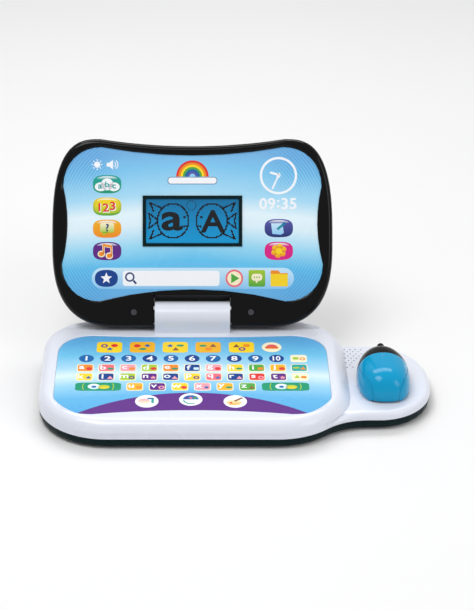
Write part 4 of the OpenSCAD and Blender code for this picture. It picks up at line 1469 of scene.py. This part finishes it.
# ---------------------------------------------------------------- base


@dataclass
class Base:
    """The white and dark base with its printed keyboard. Sizes in millimetres."""

    finishes: Finishes
    front_z: float = FRONT_Z
    slope: float = DECK_SLOPE
    pitch: float = 18.8

    def __post_init__(self) -> None:
        """Finds the film's level from the CAD overlay."""
        origin = (0.0, -70.0, self.front_z)
        level = face_level("keyboard_overlay", origin, self.slope)
        turned = Matrix.Rotation(math.radians(self.slope), 3, "X") @ Vector((0, 70, 0))
        self.deck = Plane(tuple(Vector(origin) + turned), self.slope, level)

    def dress(self) -> None:
        """Finishes the bottom shell, the hinge housing, the film and the inner pieces."""
        f = self.finishes
        dress((
            (f.shell_white, "hinge_housing"),
            (f.shell_teal, "base_bottom_shell battery_door"),
            (f.steel, "battery_door_screw base_screws speaker_magnet speaker_basket"),
            (f.chip, "hinge_pins hinge_washers controller_chip"),
            (f.cell, "battery_cells"),
            (f.brass, "battery_contacts"),
            (f.board, "main_circuit_board"),
            (f.cone, "speaker_cone"),
            (f.film, "membrane_top_film membrane_spacer_film membrane_bottom_film"),
            (f.bare_plastic, "keyboard_support_plate"),
            (f.rubber, "rubber_feet"),
        ))
        film = PrintedFilm(
            "keyboard_print", self.deck.at(0, 0), math.radians(self.slope), -0.076, 0.055,
            ((0.0, "4AA3DC"), (0.27, "62B4E4"), (0.43, "98D0EE"), (0.56, "D8EEF8"),
             (0.66, "A6D6F0"), (0.82, "70C2E8"), (1.0, "60ACE0"))).make()
        dress([(film, "keyboard_overlay")])

    def build(self) -> None:
        """Makes the cover and prints the keyboard."""
        BaseCover().build(self.finishes.shell_white)
        self.arc()
        self.keys()
        self.legends()

    def arc(self) -> None:
        """The purple field at the front with three round symbols."""
        p = Print("front_field_print", self.deck)
        tip_x, tip_y, top_y = 97.0, -73.4, -41.3
        rise = top_y - tip_y
        radius = (tip_x ** 2 + rise ** 2) / (2 * rise)
        half = math.degrees(math.asin(tip_x / radius))
        upper = ellipse(0, top_y - radius, radius, radius, 90 - half, 90 + half, 40)
        lower = [(-tip_x + 2 * tip_x * i / 40, self.film_front(-tip_x + 2 * tip_x * i / 40))
                 for i in range(41)]
        p.shape(upper + lower, Ink.PURPLE)
        p.up()
        discs = ((-39.0, -55.1), (-1.4, -52.2), (36.6, -55.4))
        for x, y in discs:
            p.shape(ellipse(x, y, 10.0, 10.0, count=36), Ink.WHITE)
        p.up()
        x, y = discs[0]
        p.shape(ellipse(x - 2.4, y, 5.0, 4.2, count=24), Ink.CREAM, Ink.PINK)
        p.shape(rounded(x + 5.0, y + 1.0, 2.2, 8.0, 1.0, 4), Ink.TEAL)
        p.shape(rounded(x + 3.0, y + 4.4, 5.6, 2.2, 1.0, 4), Ink.BLUE)
        x, y = discs[1]
        p.shape(ellipse(x, y, 6.8, 6.8, 0, 180, 20), Ink.BLUE)
        p.shape(band(x, y - 0.6, 5.4, 6.8, 185, 300, 16), Ink.TEAL)
        p.up()
        for i, ink in enumerate((Ink.PURPLE, Ink.ROSE, Ink.LEAF)):
            p.shape(ellipse(x - 3.6 + 3.6 * i, y + 2.4, 1.4, 1.4, count=14), ink)
        x, y = discs[2]
        p.shape(ellipse(x - 1.0, y - 1.4, 6.4, 4.6, count=26), Ink.GOLD, Ink.CREAM)
        p.up()
        p.shape(stroke((x - 0.6, y + 0.2), (x + 6.2, y + 6.0), 2.0), Ink.BROWN)
        p.shape(ellipse(x - 3.6, y - 2.2, 1.3, 1.1, count=12), Ink.RED)
        p.finish("base", self.finishes.ink, "printed_film")

    @staticmethod
    def film_front(x: float) -> float:
        """Front edge of the printed film across its width."""
        u = (x + 85) / 170
        if 0 <= u <= 1:
            return -76.0 + 4 * u * (1 - u) * 6.3
        over = (abs(x) - 85) / 34.5
        return -44 - 32.0 * (1 - over ** 2.2) ** (1 / 2.2)

    def keys(self) -> None:
        """Every key as a softly raised pad with a pale rim."""
        rims = KeyPads("key_rims", self.deck, False)
        tops = KeyPads("key_tops", self.deck, False)
        for x, y, w, h, ink, _word in self.layout():
            rims.add(x, y, w, h, Ink.CREAM if w < 20 else ink)
            tops.add(x, y, w - (1.5 if w < 20 else 2.2), h - 1.6, ink)
        rims.finish("base", self.finishes.key_ink, "printed_film", 0.55)
        tops.finish("base", self.finishes.key_ink, "printed_film", 0.85)
        rounds = KeyPads("number_keys", self.deck, True)
        for i in range(10):
            rounds.add(-93.8 + 18.7 * i, 15.7, 13.2, 12.6, Ink.NAVY if i % 2 else Ink.BLUE)
        rounds.add(70.8, 35.3, 17.6, 17.2, Ink.CREAM)
        rounds.finish("base", self.finishes.key_ink, "printed_film", 0.85)

    def layout(self) -> list[tuple[float, float, float, float, Ink, str]]:
        """Centre, width, height, ink and legend of each rectangular key."""
        first = (Ink.ORANGE, Ink.ROSE, Ink.PINK, Ink.LIME, Ink.ORANGE, Ink.NAVY, Ink.PINK,
                 Ink.YELLOW, Ink.LEAF, Ink.GOLD, Ink.TEAL)
        second = (Ink.YELLOW, Ink.NAVY, Ink.LIME, Ink.PURPLE, Ink.NAVY, Ink.YELLOW, Ink.ROSE,
                  Ink.NAVY, Ink.RED, Ink.PURPLE, Ink.CREAM)
        third = (Ink.GOLD, Ink.PURPLE, Ink.YELLOW, Ink.PINK, Ink.GOLD, Ink.LEAF)
        out = []
        for i in range(11):
            x = -94.1 + self.pitch * i
            out.append((x, -0.3, 14.6, 12.6, first[i], "abcdefghij"[i:i + 1]))
            out.append((x, -15.3, 14.6, 12.6, second[i], "klmnopqrst"[i:i + 1]))
        for i in range(6):
            out.append((-49.8 + 19.5 * i, -31.5, 14.6, 13.0, third[i], "uvwxyz"[i]))
        out.append((94.0, 15.7, 14.6, 12.4, Ink.CREAM, ""))
        for i, x in enumerate((-74.1, -44.7, -15.3, 14.1, 43.9)):
            out.append((x, 35.3, 22.6, 18.6, Ink.GOLD if i % 2 else Ink.YELLOW, ""))
        out.append((-81.6, -31.5, 39.6, 13.4, Ink.GREEN, ""))
        out.append((80.6, -31.5, 40.8, 13.4, Ink.GREEN, ""))
        return out

    def legends(self) -> None:
        """Figures, letters and small pictures on the key tops."""
        plane = Plane(self.deck.origin, self.deck.tilt, self.deck.level + 0.2)
        p = Print("key_legends", plane)
        p.base = -0.06
        for i in range(10):
            p.legend(str(i + 1), -93.8 + 18.7 * i, 15.7, 7.4, Ink.WHITE, 1.1 if i < 9 else 0.8)
        picture = (Ink.RED, Ink.BLUE, Ink.GREEN, Ink.BROWN, Ink.ORANGE, Ink.PURPLE)
        dark = {Ink.NAVY, Ink.PURPLE, Ink.RED}
        for n, (x, y, w, _, ink, word) in enumerate(self.layout()):
            p.layer = 0
            if word:
                p.legend(word, x - 3.1, y + 0.5, 7.0, Ink.WHITE, 1.1)
                spot = picture[n % 6] if ink not in dark else (Ink.PALE, Ink.PINK)[n % 2]
                self.picture(p, x + 3.5, y - 1.4, 2.7, n, spot)
            elif w > 30:
                p.shape(ellipse(x - 3.6, y, 5.4, 4.4, count=24), Ink.PALE, Ink.WHITE)
                p.shape(ellipse(x + 5.0, y - 0.6, 5.0, 3.2, count=24), Ink.YELLOW, Ink.LIME)
                p.shape(band(x, y, 13.0, 13.8, -22, 22, 8), Ink.LIME)
                p.shape(band(x, y, 13.0, 13.8, 158, 202, 8), Ink.LIME)
                p.up()
                p.shape(ellipse(x - 3.6, y - 0.4, 2.2, 1.8, count=14), Ink.BLUE)
            elif w > 20:
                spots = ((-4.6, 2.2), (4.4, 2.6), (0.4, -3.4))
                for k, (dx, dy) in enumerate(spots):
                    self.picture(p, x + dx, y + dy, 3.1, n + k, picture[(n + k) % 6])
            else:
                self.picture(p, x - 2.6, y, 2.8, n, Ink.LIME)
                self.picture(p, x + 3.2, y - 0.8, 2.6, n + 1, Ink.ORANGE)
        p.layer = 0
        p.shape(rounded(70.8, 34.4, 12.0, 4.2, 2.0, 4), Ink.ORANGE, Ink.RED)
        p.shape(ellipse(70.8, 36.6, 4.6, 3.2, 0, 180, 14), Ink.ROSE, Ink.RED)
        p.finish("base", self.finishes.ink, "printed_film")

    @staticmethod
    def picture(p: Print, x: float, y: float, r: float, kind: int, ink: Ink) -> None:
        """One small plain picture: disc, star, oval, triangle, box or ring."""
        kind %= 6
        if kind == 0:
            p.shape(ellipse(x, y, r, r * 0.9, count=14), ink)
        elif kind == 1:
            p.shape(star(x, y, r * 1.1, r * 0.5, 5), ink)
        elif kind == 2:
            p.shape(ellipse(x, y, r * 1.1, r * 0.6, count=14), ink)
        elif kind == 3:
            p.shape([(x - r, y - r * 0.8), (x + r, y - r * 0.8), (x, y + r)], ink)
        elif kind == 4:
            p.shape(rounded(x, y, r * 1.8, r * 1.5, r * 0.3, 3), ink)
        else:
            p.shape(band(x, y, r * 0.5, r, 0, 359.9, 16), ink)


# ---------------------------------------------------------------- mouse


@dataclass
class Mouse:
    """The sliding mouse on its platform."""

    finishes: Finishes

    def dress(self) -> None:
        """Finishes the nub and the mechanism."""
        f = self.finishes
        dress((
            (f.mouse_black, "mouse_cord_nub mouse_chassis"),
            (f.acetal, "carriage_rails mouse_carriage mouse_retaining_plate mouse_glide_pads"),
            (f.board, "mouse_switch_board"),
            (f.chip, "direction_switches mouse_click_switch"),
            (f.steel, "mouse_y_springs mouse_x_springs mouse_click_spring "
                      "mouse_retaining_screw"),
        ))

    def build(self) -> None:
        """Makes the covers."""
        MouseCovers().build(self.finishes.mouse_blue, self.finishes.mouse_black)


# ---------------------------------------------------------------- studio


@dataclass
class Studio:
    """Floor, soft lights and the camera. Sizes in metres."""

    camera_at: tuple[float, float, float] = (0.0, -1.5402, 0.875)
    dip: float = 27.0
    lens: float = 118.0
    shift: float = 0.0731

    def build(self) -> None:
        """Makes the floor, the lights and the camera."""
        self.floor()
        self.lights()
        self.camera()

    def floor(self) -> None:
        """A wide pale flat floor."""
        mesh = bpy.data.meshes.new("studio_floor")
        size = 6.0
        mesh.from_pydata([(-size, -size, 0), (size, -size, 0), (size, size, 0),
                          (-size, size, 0)], [], [(0, 1, 2, 3)])
        floor = bpy.data.objects.new("studio_floor", mesh)
        bpy.context.scene.collection.objects.link(floor)
        tree = NodeTree("pale_floor")
        noise = tree.noise(3.0, 2.0)
        tree.join(tree.mix(noise, (0.82, 0.82, 0.825, 1), (0.84, 0.84, 0.845, 1)),
                  tree.shader.inputs["Base Color"])
        tree.shader.inputs["Roughness"].default_value = 0.55
        mesh.materials.append(tree.material)

    def lights(self) -> None:
        """A bright plain world and three soft boxes."""
        bpy.context.scene.view_settings.view_transform = "Standard"
        world = bpy.data.worlds.new("studio_world")
        bpy.context.scene.world = world
        world.use_nodes = True
        back = world.node_tree.nodes["Background"]
        back.inputs["Color"].default_value = (1.0, 1.0, 1.0, 1)
        back.inputs["Strength"].default_value = 0.52
        for name, spot, aim, size, power in (
                ("key_light", (-0.4, -0.35, 1.5), (0.05, 0, 0.03), (0.9, 0.6), 10.0),
                ("fill_light", (1.3, -0.8, 0.9), (0.05, 0, 0.05), (0.7, 0.9), 5.0),
                ("back_light", (0.0, 1.0, 1.4), (0.05, 0, 0.05), (1.5, 0.6), 11.0)):
            data = bpy.data.lights.new(name, "AREA")
            data.shape = "RECTANGLE"
            data.size, data.size_y = size
            data.energy = power
            lamp = bpy.data.objects.new(name, data)
            lamp.location = spot
            lamp.rotation_euler = (Vector(aim) - Vector(spot)).to_track_quat("-Z",
                                                                             "Y").to_euler()
            bpy.context.scene.collection.objects.link(lamp)

    def camera(self) -> None:
        """The camera, level from side to side and dipped towards the toy."""
        data = bpy.data.cameras.new("studio_camera")
        data.lens = self.lens
        data.sensor_width = 36.0
        data.shift_x = self.shift
        data.clip_end = 50
        data.dof.use_dof = False
        camera = bpy.data.objects.new("studio_camera", data)
        camera.location = self.camera_at
        camera.rotation_euler = Euler((math.radians(90 - self.dip), 0, 0))
        bpy.context.scene.collection.objects.link(camera)
        bpy.context.scene.camera = camera


def main() -> None:
    """Builds the studio and dresses the toy, part by part."""
    logging.basicConfig(level=logging.INFO, format="%(name)s: %(message)s")
    Studio().build()
    finishes = Finishes()
    for part in (Base(finishes), Lid(finishes), Mouse(finishes)):
        part.dress()
        part.build()
        log.info("%s done", type(part).__name__)


if __name__ == "__main__":
    main()
